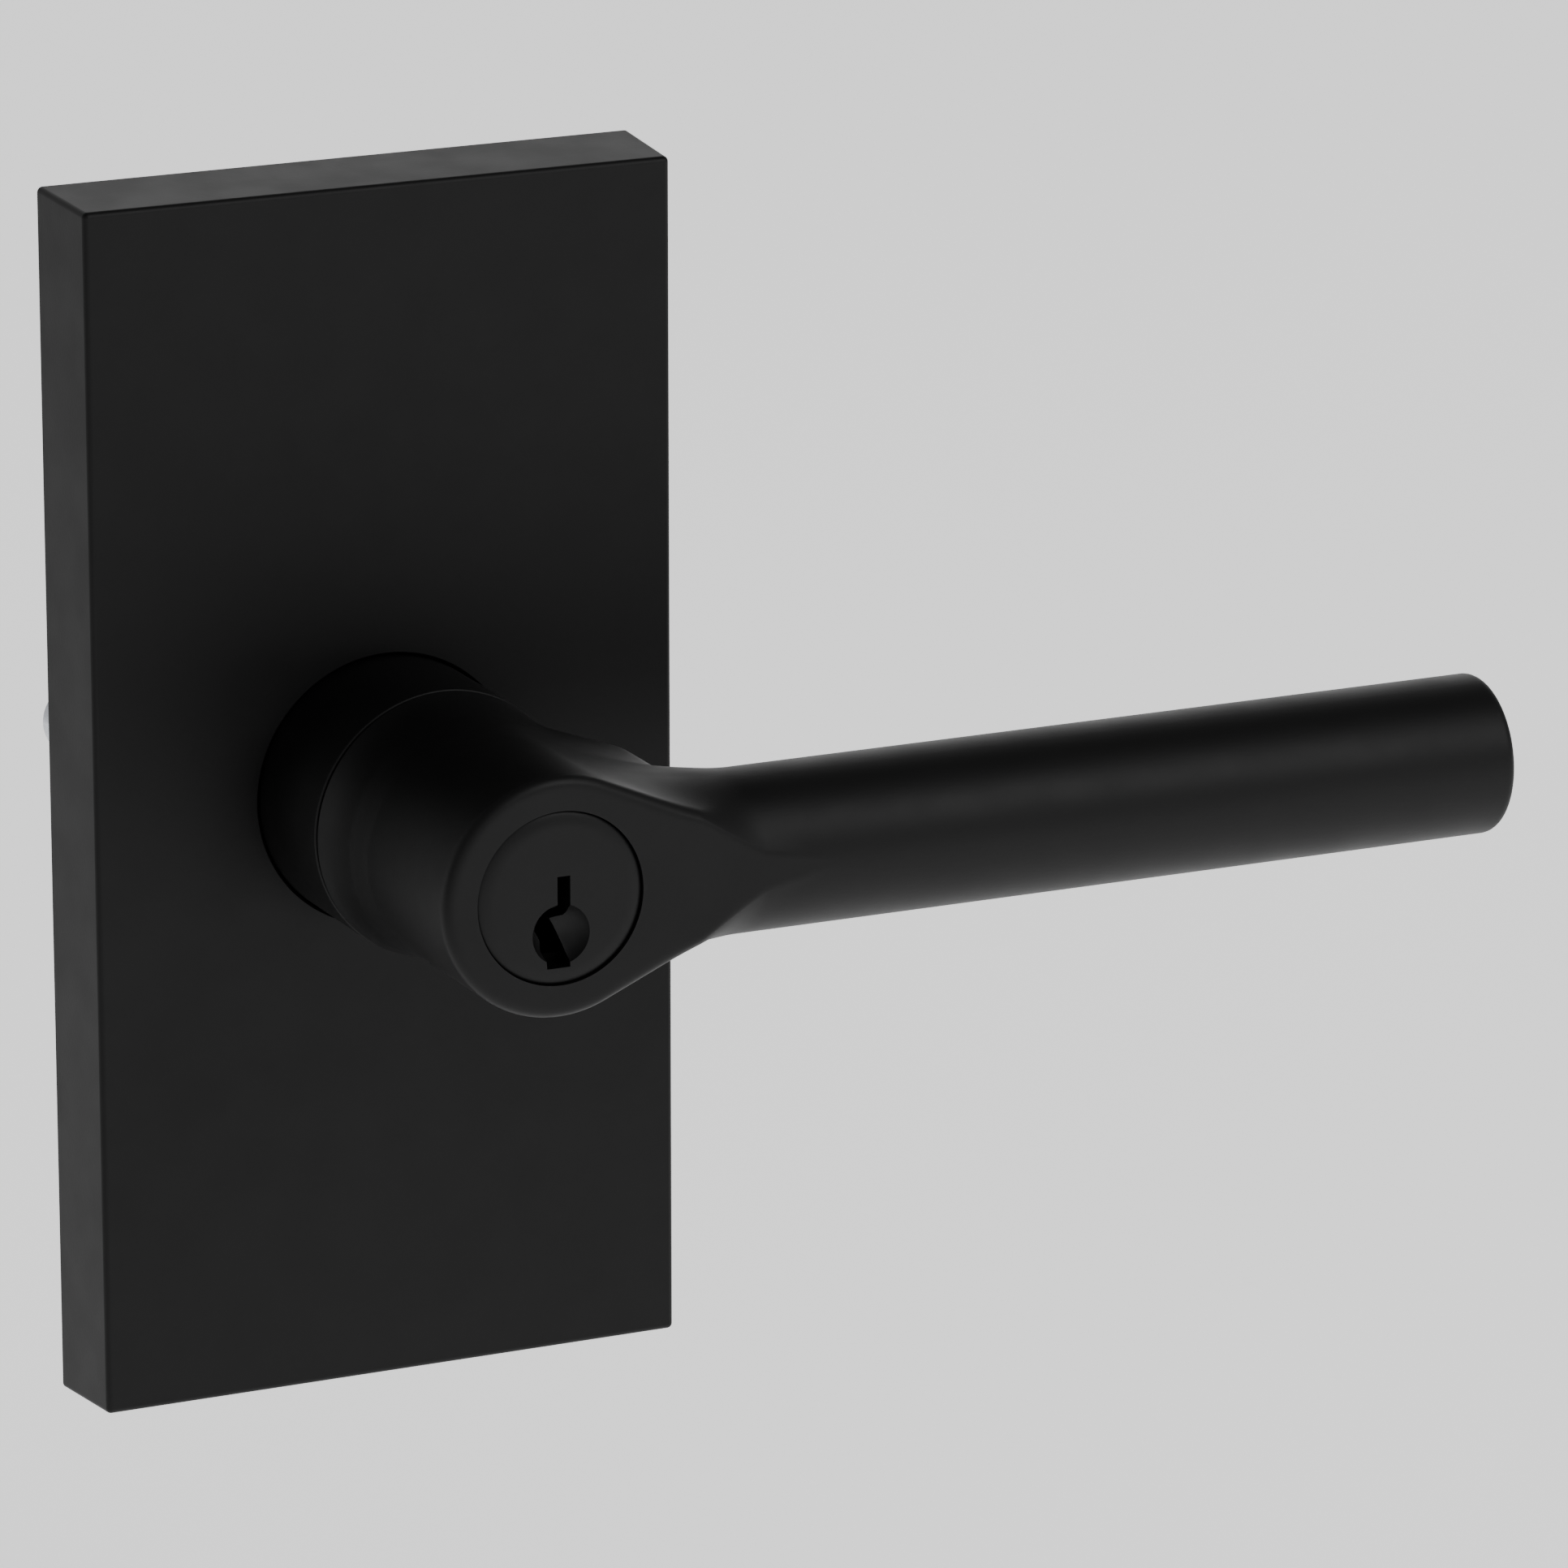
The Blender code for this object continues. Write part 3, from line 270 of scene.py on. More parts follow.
# Blends: neck to wedge, sharp in front and soft in the flare; and body to arm, softer behind
NECK_BLEND = 0.02
FLARE_BLEND = 1.2
FLARE_FADE = 4
ARM_BLEND = 3.2
ARM_BACK_BLEND = 1.4
BACK_START = 1
BACK_FADE = 7

SHANK_SPARE = 1.5  # the casting starts this far behind the shank, and the excess is cut away


def smooth_min(a, b, blend):
    share = np.clip(0.5 + 0.5 * (b - a) / blend, 0, 1)
    return b + (a - b) * share - blend * share * (1 - share)


def round_max(a, b, radius):
    """The intersection of two fields, with a fillet of that radius along their common edge."""
    u, v = np.maximum(a + radius, 0), np.maximum(b + radius, 0)
    return np.minimum(np.maximum(a, b), -radius) + np.sqrt(u * u + v * v)


def hull_of_circles(x, z, first, second, apart):
    """Distance to the outline round a circle at x = 0 and a smaller one further along x."""
    slope = (first - second) / apart
    run = sqrt(1 - slope * slope)
    z = np.abs(z)
    along = -slope * z + run * x
    near = np.hypot(x, z) - first
    far = np.hypot(x - apart, z) - second
    flank = slope * x + run * z - first
    return np.where(along < 0, near, np.where(along > run * apart, far, flank))


def lever_field(x, out, z):
    """Signed distance to the lever's outer skin, negative inside. Everything is in millimetres."""
    face, back = PROJECTION * MM, NECK_BACK * MM
    neck, flare = NECK_RADIUS * MM, FLARE_RADIUS * MM
    flare_length = FLARE_LENGTH * MM
    growth = flare - neck
    flare_curve = (growth**2 + flare_length**2) / (2 * growth)
    above = np.clip(back + flare_length - out, 0, flare_length)
    radius_here = neck + flare_curve - np.sqrt(flare_curve**2 - above**2)
    radial = np.hypot(x, z)
    neck_field = round_max(radial - radius_here, out - face, NECK_EDGE * MM)
    neck_field = np.maximum(neck_field, SHANK_BACK * MM - SHANK_SPARE - out)

    middle = ARM_OUT * MM
    front_share = np.clip((out - middle) / (face - middle), 0, 1)
    wedge = hull_of_circles(x, z, neck, WEB_NOSE, WEB_NOSE_REACH)
    ridge = hull_of_circles(x, z, neck, WEB_TIP, WEB_TIP_REACH)
    web = wedge + (ridge - wedge) * front_share
    melt = np.clip((x - WEB_MELT) / WEB_MELT_LENGTH, 0, 1)
    web = round_max(web, out - face, NECK_EDGE * MM + WEB_MELT_EDGE * melt**WEB_MELT_POWER)
    web = round_max(web, back + WEB_LIFT - out, WEB_FOOT)
    in_flare = np.clip((back + flare_length - out) / FLARE_FADE + 0.5, 0, 1)
    body = smooth_min(neck_field, web, NECK_BLEND + FLARE_BLEND * in_flare)

    arm = np.hypot(z, out - middle) - ARM_RADIUS * MM
    arm = round_max(arm, x - LEVER_REACH * MM, ARM_EDGE * MM)
    arm = np.maximum(arm, -x)
    behind = np.clip((middle + BACK_START - out) / BACK_FADE, 0, 1)
    body = smooth_min(body, arm, ARM_BLEND + ARM_BACK_BLEND * behind)
    return np.maximum(body, out - face)


def spaced(*stretches):
    """Grid lines: each stretch is (start, end, spacing)."""
    lines = [np.linspace(a, b, round((b - a) / step), endpoint=False) for a, b, step in stretches]
    return np.append(np.concatenate(lines), stretches[-1][1])


def skin_of(field, xs, ys, zs):
    """Surface nets: one point in each grid cell that the surface crosses, then moved onto the surface."""
    grid = np.meshgrid(xs, ys, zs, indexing="ij")
    values = field(*grid)
    inside = values < 0
    count = np.zeros(np.array(values.shape) - 1)
    total = np.zeros((3, *count.shape))
    corner = [slice(None, -1), slice(1, None)]
    for axis in range(3):
        others = [a for a in range(3) if a != axis]
        low, high = [slice(None)] * 3, [slice(None)] * 3
        low[axis], high[axis] = slice(None, -1), slice(1, None)
        low, high = tuple(low), tuple(high)
        crossed = inside[low] != inside[high]
        share = np.where(crossed, values[low] / np.where(crossed, values[low] - values[high], 1), 0)
        points = [g[low] + (share * (g[high] - g[low]) if a == axis else 0) for a, g in enumerate(grid)]
        for i in (0, 1):
            for j in (0, 1):
                pick = [slice(None)] * 3
                pick[others[0]], pick[others[1]] = corner[i], corner[j]
                pick = tuple(pick)
                count += crossed[pick]
                for a in range(3):
                    total[a] += points[a][pick] * crossed[pick]
    active = count > 0
    index = np.full(count.shape, -1)
    index[active] = np.arange(active.sum())
    points = (total[:, active] / count[active]).T
    quads = []
    for axis in range(3):
        a, b = [(1, 2), (2, 0), (0, 1)][axis]
        low, high = [slice(1, -1)] * 3, [slice(1, -1)] * 3
        low[axis], high[axis] = slice(None, -1), slice(1, None)
        start, end = inside[tuple(low)], inside[tuple(high)]
        cells = []
        for i, j in ((0, 0), (1, 0), (1, 1), (0, 1)):
            pick = [slice(None)] * 3
            pick[a] = slice(None, -1) if i == 0 else slice(1, None)
            pick[b] = slice(None, -1) if j == 0 else slice(1, None)
            cells.append(index[tuple(pick)])
        for mask, order in ((start & ~end, (0, 1, 2, 3)), (~start & end, (3, 2, 1, 0))):
            quads.append(np.stack([cells[k][mask] for k in order], axis=1))
    return onto_surface(field, points), np.concatenate(quads)


def gradient(field, points, step=0.01):
    slopes = []
    for axis in range(3):
        ahead, behind = points.copy(), points.copy()
        ahead[:, axis] += step
        behind[:, axis] -= step
        slopes.append((field(*ahead.T) - field(*behind.T)) / (2 * step))
    return np.stack(slopes, axis=1)


def onto_surface(field, points, rounds=4):
    for _ in range(rounds):
        slope = gradient(field, points)
        length_squared = np.maximum((slope**2).sum(axis=1), 0.25)
        points = points - slope * (field(*points.T) / length_squared)[:, None]
    return points


def make_lever():
    """The field's skin, with its back, bore, slot and catch hole cut. The grid is finest at the front."""
    side, web_end, tip_start, front_start = 15, 36, 104, 52.5
    fine, coarse, along_arm = 0.36, 0.42, 1.6
    reach, front = LEVER_REACH * MM + 1.2, PROJECTION * MM + 0.8
    xs = spaced((-side, web_end, fine), (web_end, tip_start, along_arm), (tip_start, reach, 0.28))
    outs = spaced((SHANK_BACK * MM - 2.4, front_start, coarse), (front_start, front, 0.24))
    zs = spaced((-side, side, fine))
    points, quads = skin_of(lever_field, xs, outs, zs)
    world = np.stack([points[:, 0], -points[:, 1], points[:, 2]], axis=1) / MM
    mesh = bpy.data.meshes.new("lever_casting")
    mesh.from_pydata(world.tolist(), [], quads.tolist())
    shape = bmesh.new()
    shape.from_mesh(mesh)
    bmesh.ops.recalc_face_normals(shape, faces=shape.faces)
    shape.to_mesh(mesh)
    shape.free()
    lever = new_object("lever_casting", mesh)
    bore = along_y(lathe("lever_bore", rod_profile(LEVER_BORE, SHANK_BACK - PAST, PROJECTION + PAST)))
    cut(lever, [lever_back(), bore, lever_slot(), lever_catch_hole()])
    shade(lever, 50)
    return finish_piece(lever, "lever_assembly", "satin_black", BLACK, "lever")


def lever_back():
    """Everything behind the neck but the shank: it leaves a crisp, finely chamfered rim over the collar."""
    chamfer, wide, behind = 0.0002, 0.024, SHANK_BACK - 0.004
    profile = [
        (0, SHANK_BACK),
        (SHANK_RADIUS, SHANK_BACK),
        (SHANK_RADIUS, NECK_BACK),
        (FLARE_RADIUS - chamfer, NECK_BACK),
        (FLARE_RADIUS + 0.00005, NECK_BACK + chamfer),
        (wide, NECK_BACK + chamfer),
        (wide, behind),
        (0, behind),
    ]
    return along_y(lathe("lever_back", profile))


def lever_slot():
    """The slot in the bore's top for the cylinder's pin housing."""
    half, top, front = 0.0029, 0.0114, 0.0518
    outline = [(-half, 0), (half, 0), (half, top), (-half, top)]
    return along_y(prism("lever_slot", outline, SHANK_BACK - PAST, front))


def lever_catch_hole():
    mesh = lathe("lever_catch_hole", rod_profile(CATCH_HOLE, -0.012, -0.006), SMALL_ROUND)
    mesh.transform(Matrix.Translation((0, -CATCH_OUT, 0)))
    return mesh


# ---------------------------------------------------------------- rose and collar


def make_rose():
    shape = bmesh.new()
    bmesh.ops.create_cube(shape, size=1)
    for vert in shape.verts:
        at_front = vert.co.y < 0
        inset = ROSE_DRAFT if at_front else 0
        vert.co.x = (ROSE_HIGH.x - inset) * (1 if vert.co.x > 0 else -1)
        vert.co.z = (ROSE_HIGH.z - inset) * (1 if vert.co.z > 0 else -1)
        vert.co.y = -ROSE_DEPTH if at_front else 0
    softened = [e for e in shape.edges if min(v.co.y for v in e.verts) < -ROSE_DEPTH / 2]
    bmesh.ops.bevel(shape, geom=softened, offset=ROSE_EDGE, segments=8, profile=0.5, affect="EDGES")
    rose = new_object("rose_plate", mesh_of(shape, "rose_plate"))
    half_width = ROSE_HIGH.x - ROSE_DRAFT - ROSE_WALL
    half_height = ROSE_HIGH.z - ROSE_DRAFT - ROSE_WALL
    outline = [(-half_width, -half_height), (half_width, -half_height)]
    outline += [(half_width, half_height), (-half_width, half_height)]
    hollow = along_y(prism("rose_hollow", outline, -0.01, ROSE_DEPTH - ROSE_WALL))
    rim, over, chamfer = COLLAR_RADIUS + ROSE_HOLE_GAP, 0.002, 0.0002
    hole_profile = [(0, ROSE_DEPTH + over), (rim + over + chamfer, ROSE_DEPTH + over)]
    hole_profile += [(rim, ROSE_DEPTH - chamfer), (rim, 0), (0, 0)]
    hole = along_y(lathe("rose_hole", hole_profile))
    cut(rose, [hollow, hole])
    shade(rose, 30)
    flatten_shading(rose)
    return finish_piece(rose, "rose_mount", "satin_black", PLATE_BLACK, "rose_cover")


def make_collar():
    edge = 0.0002
    lip = SHANK_RADIUS + 0.0004
    bore = COLLAR_RADIUS - COLLAR_WALL
    rim = [
        *arc(edge, 0, 90, 5, (COLLAR_RADIUS - edge, COLLAR_FRONT - edge))[::-1],
        (COLLAR_RADIUS, FLANGE_FRONT),
        (FLANGE_RADIUS, FLANGE_FRONT),
        (FLANGE_RADIUS, COLLAR_BACK),
        (bore, COLLAR_BACK),
        (bore, COLLAR_FRONT - COLLAR_LIP),
        (lip, COLLAR_FRONT - COLLAR_LIP),
        (lip, COLLAR_FRONT),
    ]
    collar = new_object("collar_tube", along_y(lathe("collar_tube", rim)))
    hole = lathe("collar_hole", rod_profile(RELEASE_HOLE, -0.02, -0.0108), SMALL_ROUND)
    hole.transform(Matrix.Translation((0, -CATCH_OUT, 0)))
    cut(collar, [hole, *collar_screw_holes()])
    shade(collar, 30)
    flatten_shading(collar)
    return finish_piece(collar, "rose_mount", "satin_black", PLATE_BLACK, "collar")


def collar_screw_holes():
    holes = []
    for number in (1, 2, 3):
        low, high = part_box(f"collar_screw_{number}")
        middle = (low + high) / 2
        profile = rod_profile(SCREW_HOLE, 0, FLANGE_FRONT + 0.0006)
        hole = along_y(lathe(f"collar_screw_hole_{number}", profile, SMALL_ROUND))
        hole.transform(Matrix.Translation((middle.x, 0, middle.z)))
        holes.append(hole)
    return holes


# ---------------------------------------------------------------- cylinder plug


def keyway_outline():
    """A slot above, a shoulder to the left, and a wider foot below. The points are in millimetres."""
    slot_left, slot_right, slot_top = -0.36, 1.02, 2.27
    shoulder = arc(1.95, 68, 190, 9, (-0.74, -2.85))
    belly = [(-2.25, -3.7), (-1.86, -4.45), (-2.02, -5.4), (-1.6, -6.3), (-1.52, -7.15)]
    right = [(0.98, -7.15), (0.95, -6.4), (0.68, -5.1), (0.2, -3.85), (-0.2, -3.05), (-0.72, -2.27)]
    outline = [(slot_right, slot_top), (slot_left, slot_top), (slot_left, -0.72), *shoulder[1:]]
    outline += [*belly, *right, (0.7, -2.1), (slot_right - 0.1, -1.85), (slot_right, -1.5)]
    return [(x / MM, z / MM) for x, z in outline]


def plug_profile():
    """A gently domed face on a thinner core, with a groove for the clip near its back."""
    flat, brink = FACE_RADIUS - FACE_CROWN, PROJECTION - FACE_DROP
    edge_radius = 0.00012
    steps = (0, 0.2, 0.4, 0.6, 0.75, 0.87)
    crown = [(flat + FACE_CROWN * t, PROJECTION - FACE_DROP * t**2.2) for t in steps]
    edge = arc(edge_radius, 70, 0, 5, (FACE_RADIUS - edge_radius, brink - 0.0001))
    groove_front, groove_back, groove = 0.0292, 0.0277, PLUG_RADIUS - 0.00075
    face_back = PROJECTION - FACE_THICKNESS
    profile = [(0, PROJECTION), *crown, *edge, (FACE_RADIUS, face_back), (PLUG_RADIUS, face_back)]
    profile += [(PLUG_RADIUS, groove_front), (groove, groove_front), (groove, groove_back)]
    return profile + [(PLUG_RADIUS, groove_back), (PLUG_RADIUS, PLUG_BACK), (0, PLUG_BACK)]


def keyway_cutters():
    """The whole outline through the face, and behind it only what the thinner core has room for."""
    face_floor = PROJECTION - FACE_THICKNESS + 0.0003
    in_face = along_y(prism("keyway", keyway_outline(), face_floor, PROJECTION + PAST))
    shelf = 0.0002 - PLUG_RADIUS
    inner = [(x, z) for x, z in keyway_outline() if z > shelf + 0.0002]
    after = 1 + max(i for i, (x, z) in enumerate(inner) if x < -0.0015)
    inner[after:after] = [(-0.0016, shelf), (0.0009, shelf)]
    return [in_face, along_y(prism("keyway_inside", inner, KEYWAY_BACK, face_floor + 0.0002))]


def dimple_cutter():
    """A ball that leaves a dimple of the named radius and depth in the face."""
    ball = (DIMPLE_RADIUS**2 + DIMPLE_DEPTH**2) / (2 * DIMPLE_DEPTH)
    profile = [(0, ball), *arc(ball, 85, -85, 61), (0, -ball)]
    dimple = along_y(lathe("dimple", profile, 96))
    dimple.transform(Matrix.Translation((0, DIMPLE_DEPTH - ball - PROJECTION, -DIMPLE_DROP)))
    return dimple


def make_plug():
    plug = new_object("cylinder_plug", along_y(lathe("cylinder_plug", plug_profile())))
    cut(plug, [dimple_cutter(), *keyway_cutters(), *plug_chambers()])
    shade(plug, 30)
    flatten_shading(plug)
    finish_piece(plug, "plug_assembly", "satin_black", FACE_BLACK, "plug")
    # Faces deep inside the keyway take the near-black material: painted shade in the recess, which hides
    # the lit shelf
    plug.data.materials.append(KEYWAY_PAINTED_SHADE)
    painted_shade_radius, painted_shade_front = 0.0073, PROJECTION - DIMPLE_DEPTH - 0.00003
    for polygon in plug.data.polygons:
        x, y, z = polygon.center
        if 0.03 < -y < painted_shade_front and sqrt(x * x + z * z) < painted_shade_radius:
            polygon.material_index = 1
    return plug


def plug_chambers():
    chambers = []
    for number in range(1, 6):
        low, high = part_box(f"key_pin_{number}")
        chamber = lathe(f"plug_chamber_{number}", rod_profile(PIN_CHAMBER, 0.001, 0.008), SMALL_ROUND)
        chamber.transform(Matrix.Translation((0, (low.y + high.y) / 2, 0)))
        chambers.append(chamber)
    return chambers


# ---------------------------------------------------------------- posts


def make_post(side):
    """A turned post: domed rivet neck, broken edges, and a threaded bore with a countersunk mouth."""
    low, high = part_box(f"post_{side}")
    neck, radius, bore = 0.0026, (high.x - low.x) / 2, 0.0017
    front, back = -low.y, -high.y
    shoulder, floor, edge, break_width = 0.0009, back + POST_BORE_DEPTH, 0.0004, 0.0002
    crest = bore + 0.00022
    dome = [(neck - 0.0009, front), (neck - 0.0003, front - 0.0002), (neck, front - 0.0006)]
    mouth = [(bore + 0.0006, back), (crest, back + 0.0004)]
    profile = [(0, front), *dome, (neck, shoulder), (radius - break_width, shoulder)]
    profile += [(radius, shoulder - break_width), (radius, back + edge), (radius - edge, back), *mouth]
    threads = int((floor - back - 0.0006) / THREAD_PITCH)
    for number in range(threads):
        height = back + 0.0005 + THREAD_PITCH * number
        profile.append((crest, height))
        profile += [(bore, height + THREAD_PITCH * share) for share in (0.45, 0.55)]
    profile += [(bore, floor - 0.0001), (0, floor)]
    post = new_object(f"threaded_post_{side}", along_y(lathe(f"threaded_post_{side}", profile, 64)), 30)
    post.data.transform(Matrix.Translation(((low.x + high.x) / 2, 0, (low.z + high.z) / 2)))
    return finish_piece(post, "rose_mount", "zinc_steel", DRAWN, f"post_{side}")


# ---------------------------------------------------------------- springs


def copy_spring(node):
    """The spring's own solid as a piece of its own, in spring steel, with its CAD node hidden."""
    spring = new_object(f"{node}_wire", frame["nodes"][node].data.copy(), 40)
    spring.data.materials.clear()
    spring.data.materials.append(SPRING)
    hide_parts(node)
    return spring


def make_springs():
    """The springs as pieces of their own: the catch's leaf rides with the lever, and the return spring and
    the pins' springs stay where they are.
    """
    coil = copy_spring("return_spring")
    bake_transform(coil)

    leaf = copy_spring("catch_spring")
    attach(leaf, "lever_assembly")
    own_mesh(leaf)

    for number in range(1, 6):
        spring = copy_spring(f"driver_spring_{number}")
        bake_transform(spring)


# ---------------------------------------------------------------- materials


def new_material(name, colour, roughness, metallic):
    material = bpy.data.materials.new(name)
    material.use_nodes = True
    shader = material.node_tree.nodes["Principled BSDF"]
    shader.inputs["Metallic"].default_value = metallic
    shader.inputs["Base Color"].default_value = (*colour, 1)
    shader.inputs["Roughness"].default_value = roughness
    return material, shader


def add_node(owner, kind, **settings):
    """A new node of a material or a world."""
    node = owner.node_tree.nodes.new(kind)
    for name, value in settings.items():
        setattr(node, name, value)
    return node


def link(owner, output, socket):
    owner.node_tree.links.new(output, socket)


def noise(material, scale, detail, stretch=None):
    """Noise in the piece's own coordinates. The scale is in features per metre."""
    where = add_node(material, "ShaderNodeTexCoord")
    source = where.outputs["Object"]
    if stretch:
        mapping = add_node(material, "ShaderNodeMapping")
        mapping.inputs["Scale"].default_value = stretch
        link(material, source, mapping.inputs["Vector"])
        source = mapping.outputs["Vector"]
    texture = add_node(material, "ShaderNodeTexNoise")
    texture.inputs["Scale"].default_value = scale
    texture.inputs["Detail"].default_value = detail
    link(material, source, texture.inputs["Vector"])
    return texture.outputs["Fac"]


def spread(owner, value, low, high, start=0.35, end=0.65):
    """Maps a value between start and end onto a range. Left out, they are noise's own."""
    ranged = add_node(owner, "ShaderNodeMapRange")
    ranged.inputs["From Min"].default_value = start
    ranged.inputs["From Max"].default_value = end
    ranged.inputs["To Min"].default_value = low
    ranged.inputs["To Max"].default_value = high
    link(owner, value, ranged.inputs["Value"])
    return ranged.outputs["Result"]


def mix_colours(material, share, first, second):
    mix = add_node(material, "ShaderNodeMix", data_type="RGBA")
    for socket, colour in ((mix.inputs["A"], first), (mix.inputs["B"], second)):
        if hasattr(colour, "is_linked"):
            link(material, colour, socket)
        else:
            socket.default_value = (*colour, 1)
    link(material, share, mix.inputs["Factor"])
    return mix.outputs["Result"]


def bump(material, shader, height, distance, strength):
    node = add_node(material, "ShaderNodeBump")
    node.inputs["Distance"].default_value = distance
    node.inputs["Strength"].default_value = strength
    link(material, height, node.inputs["Height"])
    link(material, node.outputs["Normal"], shader.inputs["Normal"])


def edge_share(material):
    """How much a point lies on an outer edge, for wear."""
    geometry = add_node(material, "ShaderNodeNewGeometry")
    return spread(material, geometry.outputs["Pointiness"], 0, 1, 0.52, 0.62)


def shade_of(colour, share):
    return tuple(min(1, part * share) for part in colour)


def make_black(name, colour, roughness, specular=0.235, wear=False):
    """Satin black powder coat: fine orange peel, slightly uneven gloss, and faint rubbing if it wears."""
    material, shader = new_material(name, colour, roughness, 0.0)
    shader.inputs["Specular IOR Level"].default_value = specular
    mottle = noise(material, 160, 4)
    tone = mix_colours(material, mottle, shade_of(colour, 0.85), shade_of(colour, 1.15))
    if wear:
        tone = mix_colours(material, edge_share(material), tone, shade_of(colour, 2.2))
    link(material, tone, shader.inputs["Base Color"])
    link(material, spread(material, mottle, roughness - 0.02, roughness + 0.02), shader.inputs["Roughness"])
    bump(material, shader, noise(material, 3200, 2), 0.00002, 0.35)
    return material


def make_metal(name, colour, roughness, grain=(1, 1, 1), wear=1.25):
    """Plated or machined metal: fine tool lines, uneven tone, brighter edges."""
    material, shader = new_material(name, colour, roughness, 1.0)
    tone = mix_colours(material, noise(material, 220, 5), shade_of(colour, 0.82), colour)
    worn = mix_colours(material, edge_share(material), tone, shade_of(colour, wear))
    link(material, worn, shader.inputs["Base Color"])
    lines = noise(material, 2500, 4, grain)
    link(material, spread(material, lines, roughness - 0.08, roughness + 0.10), shader.inputs["Roughness"])
    bump(material, shader, lines, 0.00003, 0.3)
    return material


def make_acetal():
    material, shader = new_material("natural_acetal", (0.80, 0.79, 0.73), 0.45, 0.0)
    shader.inputs["Subsurface Weight"].default_value = 0.15
    shader.inputs["Subsurface Radius"].default_value = (0.002, 0.002, 0.0015)
    tone = mix_colours(material, noise(material, 300, 4), (0.74, 0.73, 0.66), (0.83, 0.82, 0.77))
    link(material, tone, shader.inputs["Base Color"])
    bump(material, shader, noise(material, 1800, 3), 0.00004, 0.3)
    return material


def make_foam():
    """Closed-cell foam: small pits in a dark sheet."""
    material, shader = new_material("closed_cell_foam", (0.03, 0.03, 0.033), 0.9, 0.0)
    cells = add_node(material, "ShaderNodeTexVoronoi")
    where = add_node(material, "ShaderNodeTexCoord")
    cells.inputs["Scale"].default_value = 1500
    link(material, where.outputs["Object"], cells.inputs["Vector"])
    tone = mix_colours(material, cells.outputs["Distance"], (0.018, 0.018, 0.02), (0.05, 0.05, 0.055))
    link(material, tone, shader.inputs["Base Color"])
    bump(material, shader, cells.outputs["Distance"], 0.00025, 0.6)
    return material


COAT = (0.0013, 0.0013, 0.0014)
ZINC_COLOUR = (0.56, 0.58, 0.62)

BLACK = make_black("satin_black_coat", COAT, 0.50, wear=True)
PLATE_BLACK = make_black("satin_black_plate", COAT, 0.52)
FACE_BLACK = make_black("satin_black_face", COAT, 0.47)
# Painted shade: a near-black coat with little reflection, for the faces deep inside the keyway
KEYWAY_PAINTED_SHADE = make_black("keyway_painted_shade", (0.0006, 0.0006, 0.0006), 0.7, specular=0.06)
ZINC = make_metal("zinc_plate", ZINC_COLOUR, 0.34)
DRAWN = make_metal("drawn_zinc_bar", ZINC_COLOUR, 0.30, grain=(6, 0.3, 6))
SPRING = make_metal("oiled_spring_steel", (0.28, 0.29, 0.31), 0.30)
BRASS = make_metal("turned_brass", (0.76, 0.56, 0.25), 0.28, grain=(1, 8, 1), wear=1.15)
ACETAL = make_acetal()
FOAM = make_foam()

NODE_MATERIALS = {
    "zinc_steel": ZINC,
    "spring_steel": SPRING,
    "brass": BRASS,
    "acetal": ACETAL,
    "foam": FOAM,
    "satin_black": BLACK,
}

EDGE_WIDTHS = {  # broken edges of the CAD pieces that are shown as they are
    "drive_spindle": 0.00035,
    "tailpiece": 0.00015,
    "stop_cam": 0.00015,
    "spring_driver": 0.00015,
    "mounting_plate": 0.00015,
    "spindle_sleeve": 0.00015,
    "cylinder_shell": 0.00012,
    "cylinder_spacer": 0.00012,
    "bearing_bush": 0.00015,
    "lever_catch": 0.0001,
}


def finish_piece(piece, body, slot, material, *nodes):
    piece.data.materials.clear()
    piece.data.materials.append(material)
    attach(piece, body)
    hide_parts(*nodes)
    return piece


def dress_nodes():
    """Every CAD node that stays visible takes the material of its slot."""
    slots = {part["node"]: part["material_slot"] for part in frame["record"]["subparts"]}
    for name, node in frame["nodes"].items():
        node.data.materials.clear()
        node.data.materials.append(NODE_MATERIALS[slots[name]])
        if name in EDGE_WIDTHS:
            soften(node, EDGE_WIDTHS[name])


# ---------------------------------------------------------------- studio


def make_floor():
    """A pale floor that sweeps up into a backdrop, and glows softly, brighter to the right."""
    below = CAD_BOUNDS[0][2] - 0.06
    shape = bmesh.new()
    half, front, depth, height, bend = 9.0, -5.0, 7.0, 5.0, 1.5
    sweep = arc(bend, -90, 0, 17, (depth - bend, bend))
    line = [(front, 0.0), (depth - bend, 0.0), *sweep[1:], (depth, height)]
    rows = [[shape.verts.new((x, y, below + z)) for y, z in line] for x in (-half, half)]
    for i in range(len(line) - 1):
        shape.faces.new((rows[0][i], rows[1][i], rows[1][i + 1], rows[0][i + 1]))
    floor = new_object("studio_floor", mesh_of(shape, "studio_floor"), 60)
    material, shader = new_material("pale_floor", (0.86, 0.86, 0.86), 0.9, 0.0)
    shader.inputs["Specular IOR Level"].default_value = 0.1
    shader.inputs["Emission Color"].default_value = (1, 1, 1, 1)
    where = add_node(material, "ShaderNodeTexCoord")
    across = add_node(material, "ShaderNodeSeparateXYZ")
    link(material, where.outputs["Object"], across.inputs["Vector"])
    glow = spread(material, across.outputs["X"], 0.3, 0.95, -0.5, 0.0)
    link(material, glow, shader.inputs["Emission Strength"])
    floor.data.materials.append(material)


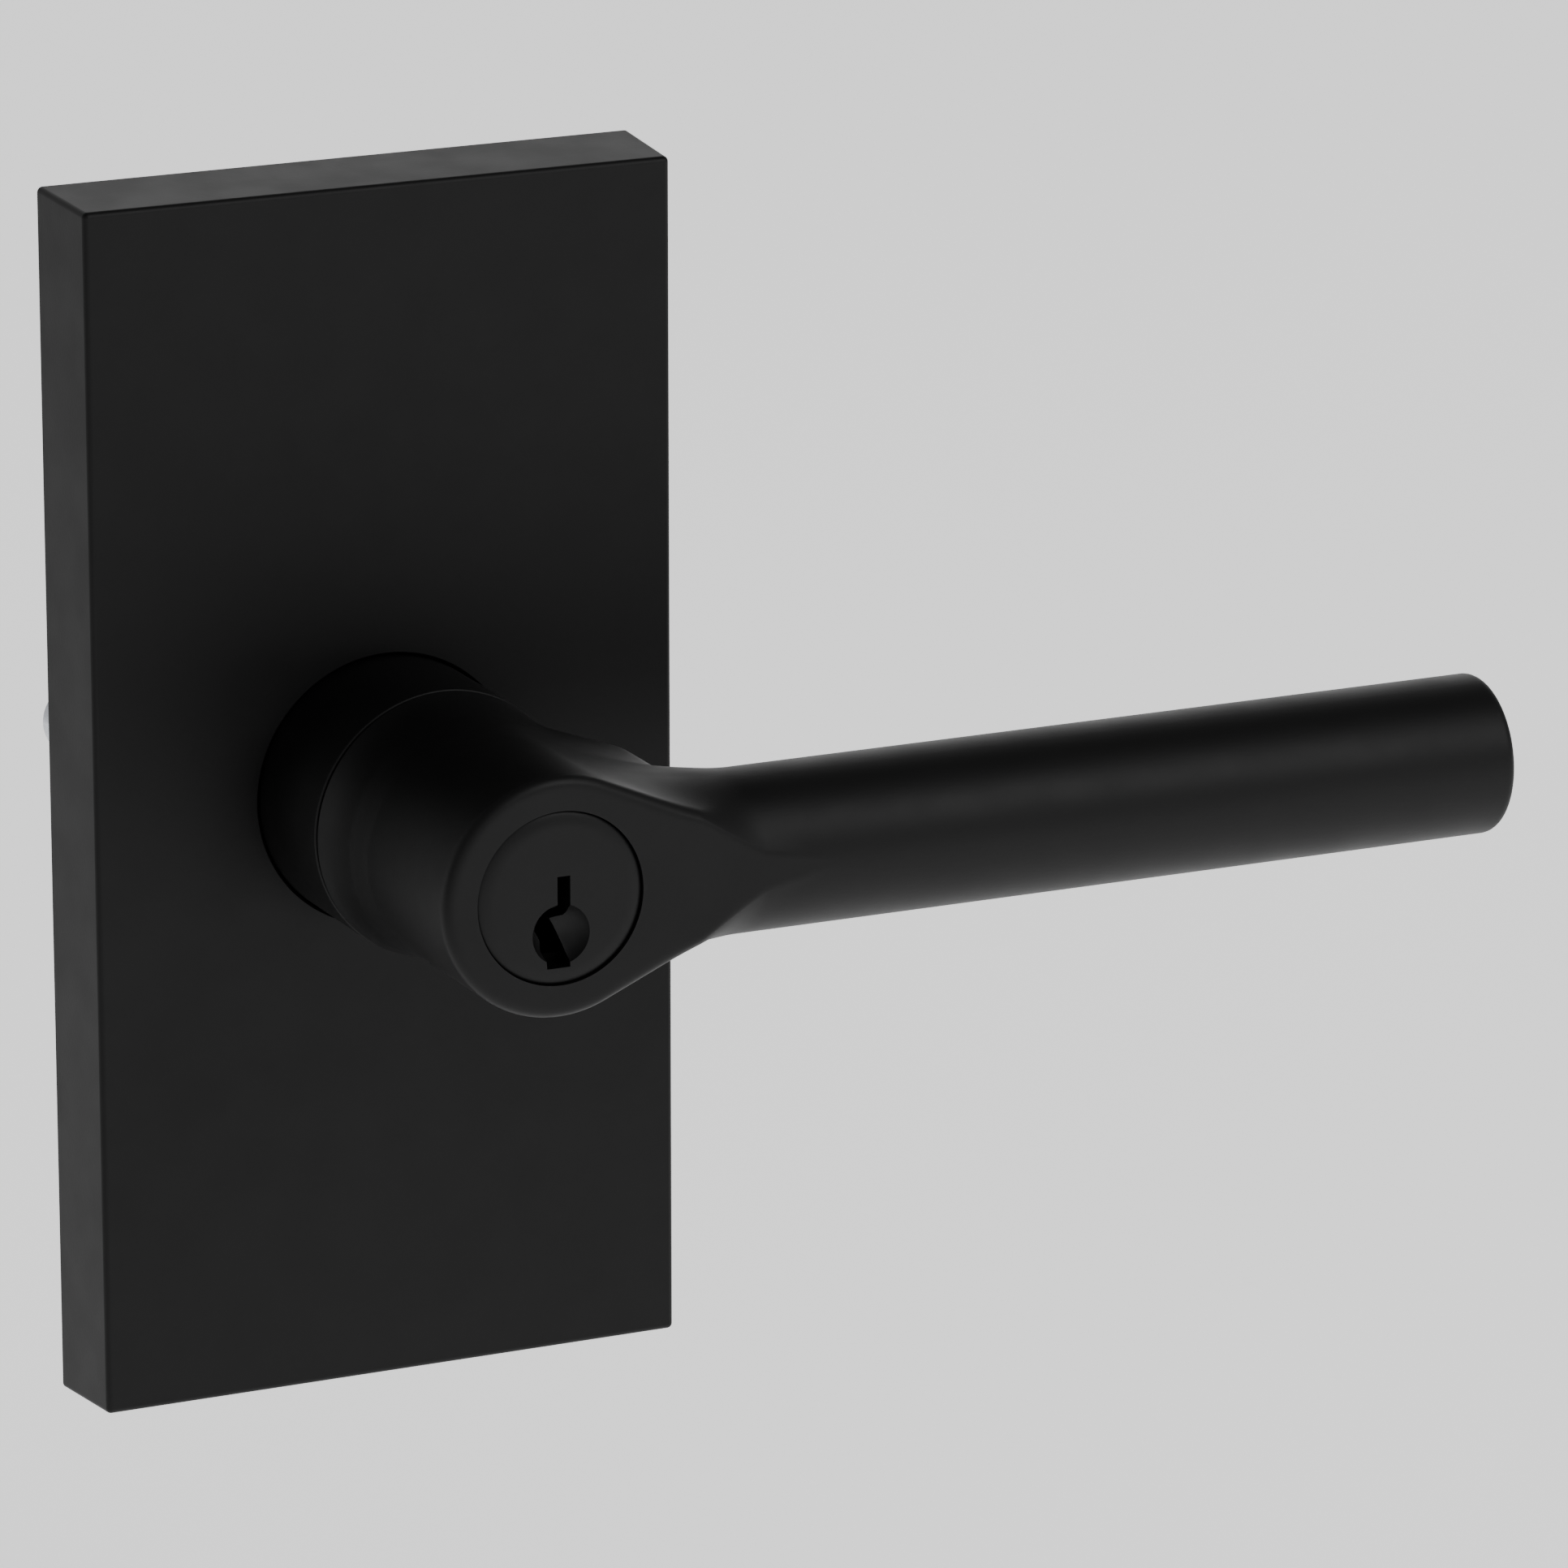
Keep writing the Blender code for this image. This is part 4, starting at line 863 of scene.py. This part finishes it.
def add_light(name, location, target, width, height, power):
    light = bpy.data.lights.new(name, "AREA")
    light.shape = "RECTANGLE"
    light.size = width
    light.size_y = height
    light.energy = power
    obj = bpy.data.objects.new(name, light)
    obj.location = location
    obj.rotation_euler = (Vector(target) - Vector(location)).to_track_quat("-Z", "Y").to_euler()
    bpy.context.scene.collection.objects.link(obj)


def make_lights():
    centre = (0.03, -0.03, 0)
    add_light("front_softbox", (-0.9, -1.5, 0.35), centre, 0.9, 1.3, 2.0)
    add_light("arm_softbox", (0.56, -0.87, 0.74), centre, 0.7, 0.7, 6.0)
    add_light("left_strip", (-1.15, 0.42, -0.02), (-0.01, -0.03, 0), 0.35, 0.9, 1.8)


def make_sky():
    """White all round, and dimmer towards the zenith."""
    world = bpy.data.worlds.new("studio")
    world.use_nodes = True
    background = world.node_tree.nodes["Background"]
    background.inputs["Color"].default_value = (1, 1, 1, 1)
    where = add_node(world, "ShaderNodeTexCoord")
    height = add_node(world, "ShaderNodeSeparateXYZ")
    link(world, where.outputs["Generated"], height.inputs["Vector"])
    strength = spread(world, height.outputs["Z"], 0.38, 0.16, 0.1, 0.95)
    link(world, strength, background.inputs["Strength"])
    bpy.context.scene.world = world


def make_camera():
    """A long lens from 25 degrees round to the left, looking 16 degrees down."""
    camera = bpy.data.cameras.new("camera")
    camera.sensor_width = 36
    camera.lens = 219
    camera.clip_start = 0.05
    camera.clip_end = 50
    obj = bpy.data.objects.new("camera", camera)
    turn, pitch = radians(25.18), radians(15.85)
    aim = Vector((sin(turn) * cos(pitch), cos(turn) * cos(pitch), -sin(pitch)))
    obj.location = (-0.36519, -0.88418, 0.26884)
    obj.rotation_euler = aim.to_track_quat("-Z", "Y").to_euler()
    bpy.context.scene.collection.objects.link(obj)
    bpy.context.scene.camera = obj


# ---------------------------------------------------------------- the scene

dress_nodes()
make_rose()
make_collar()
make_lever()
make_plug()
for side in ("left", "right"):
    make_post(side)
make_springs()
make_floor()
make_lights()
make_sky()
make_camera()
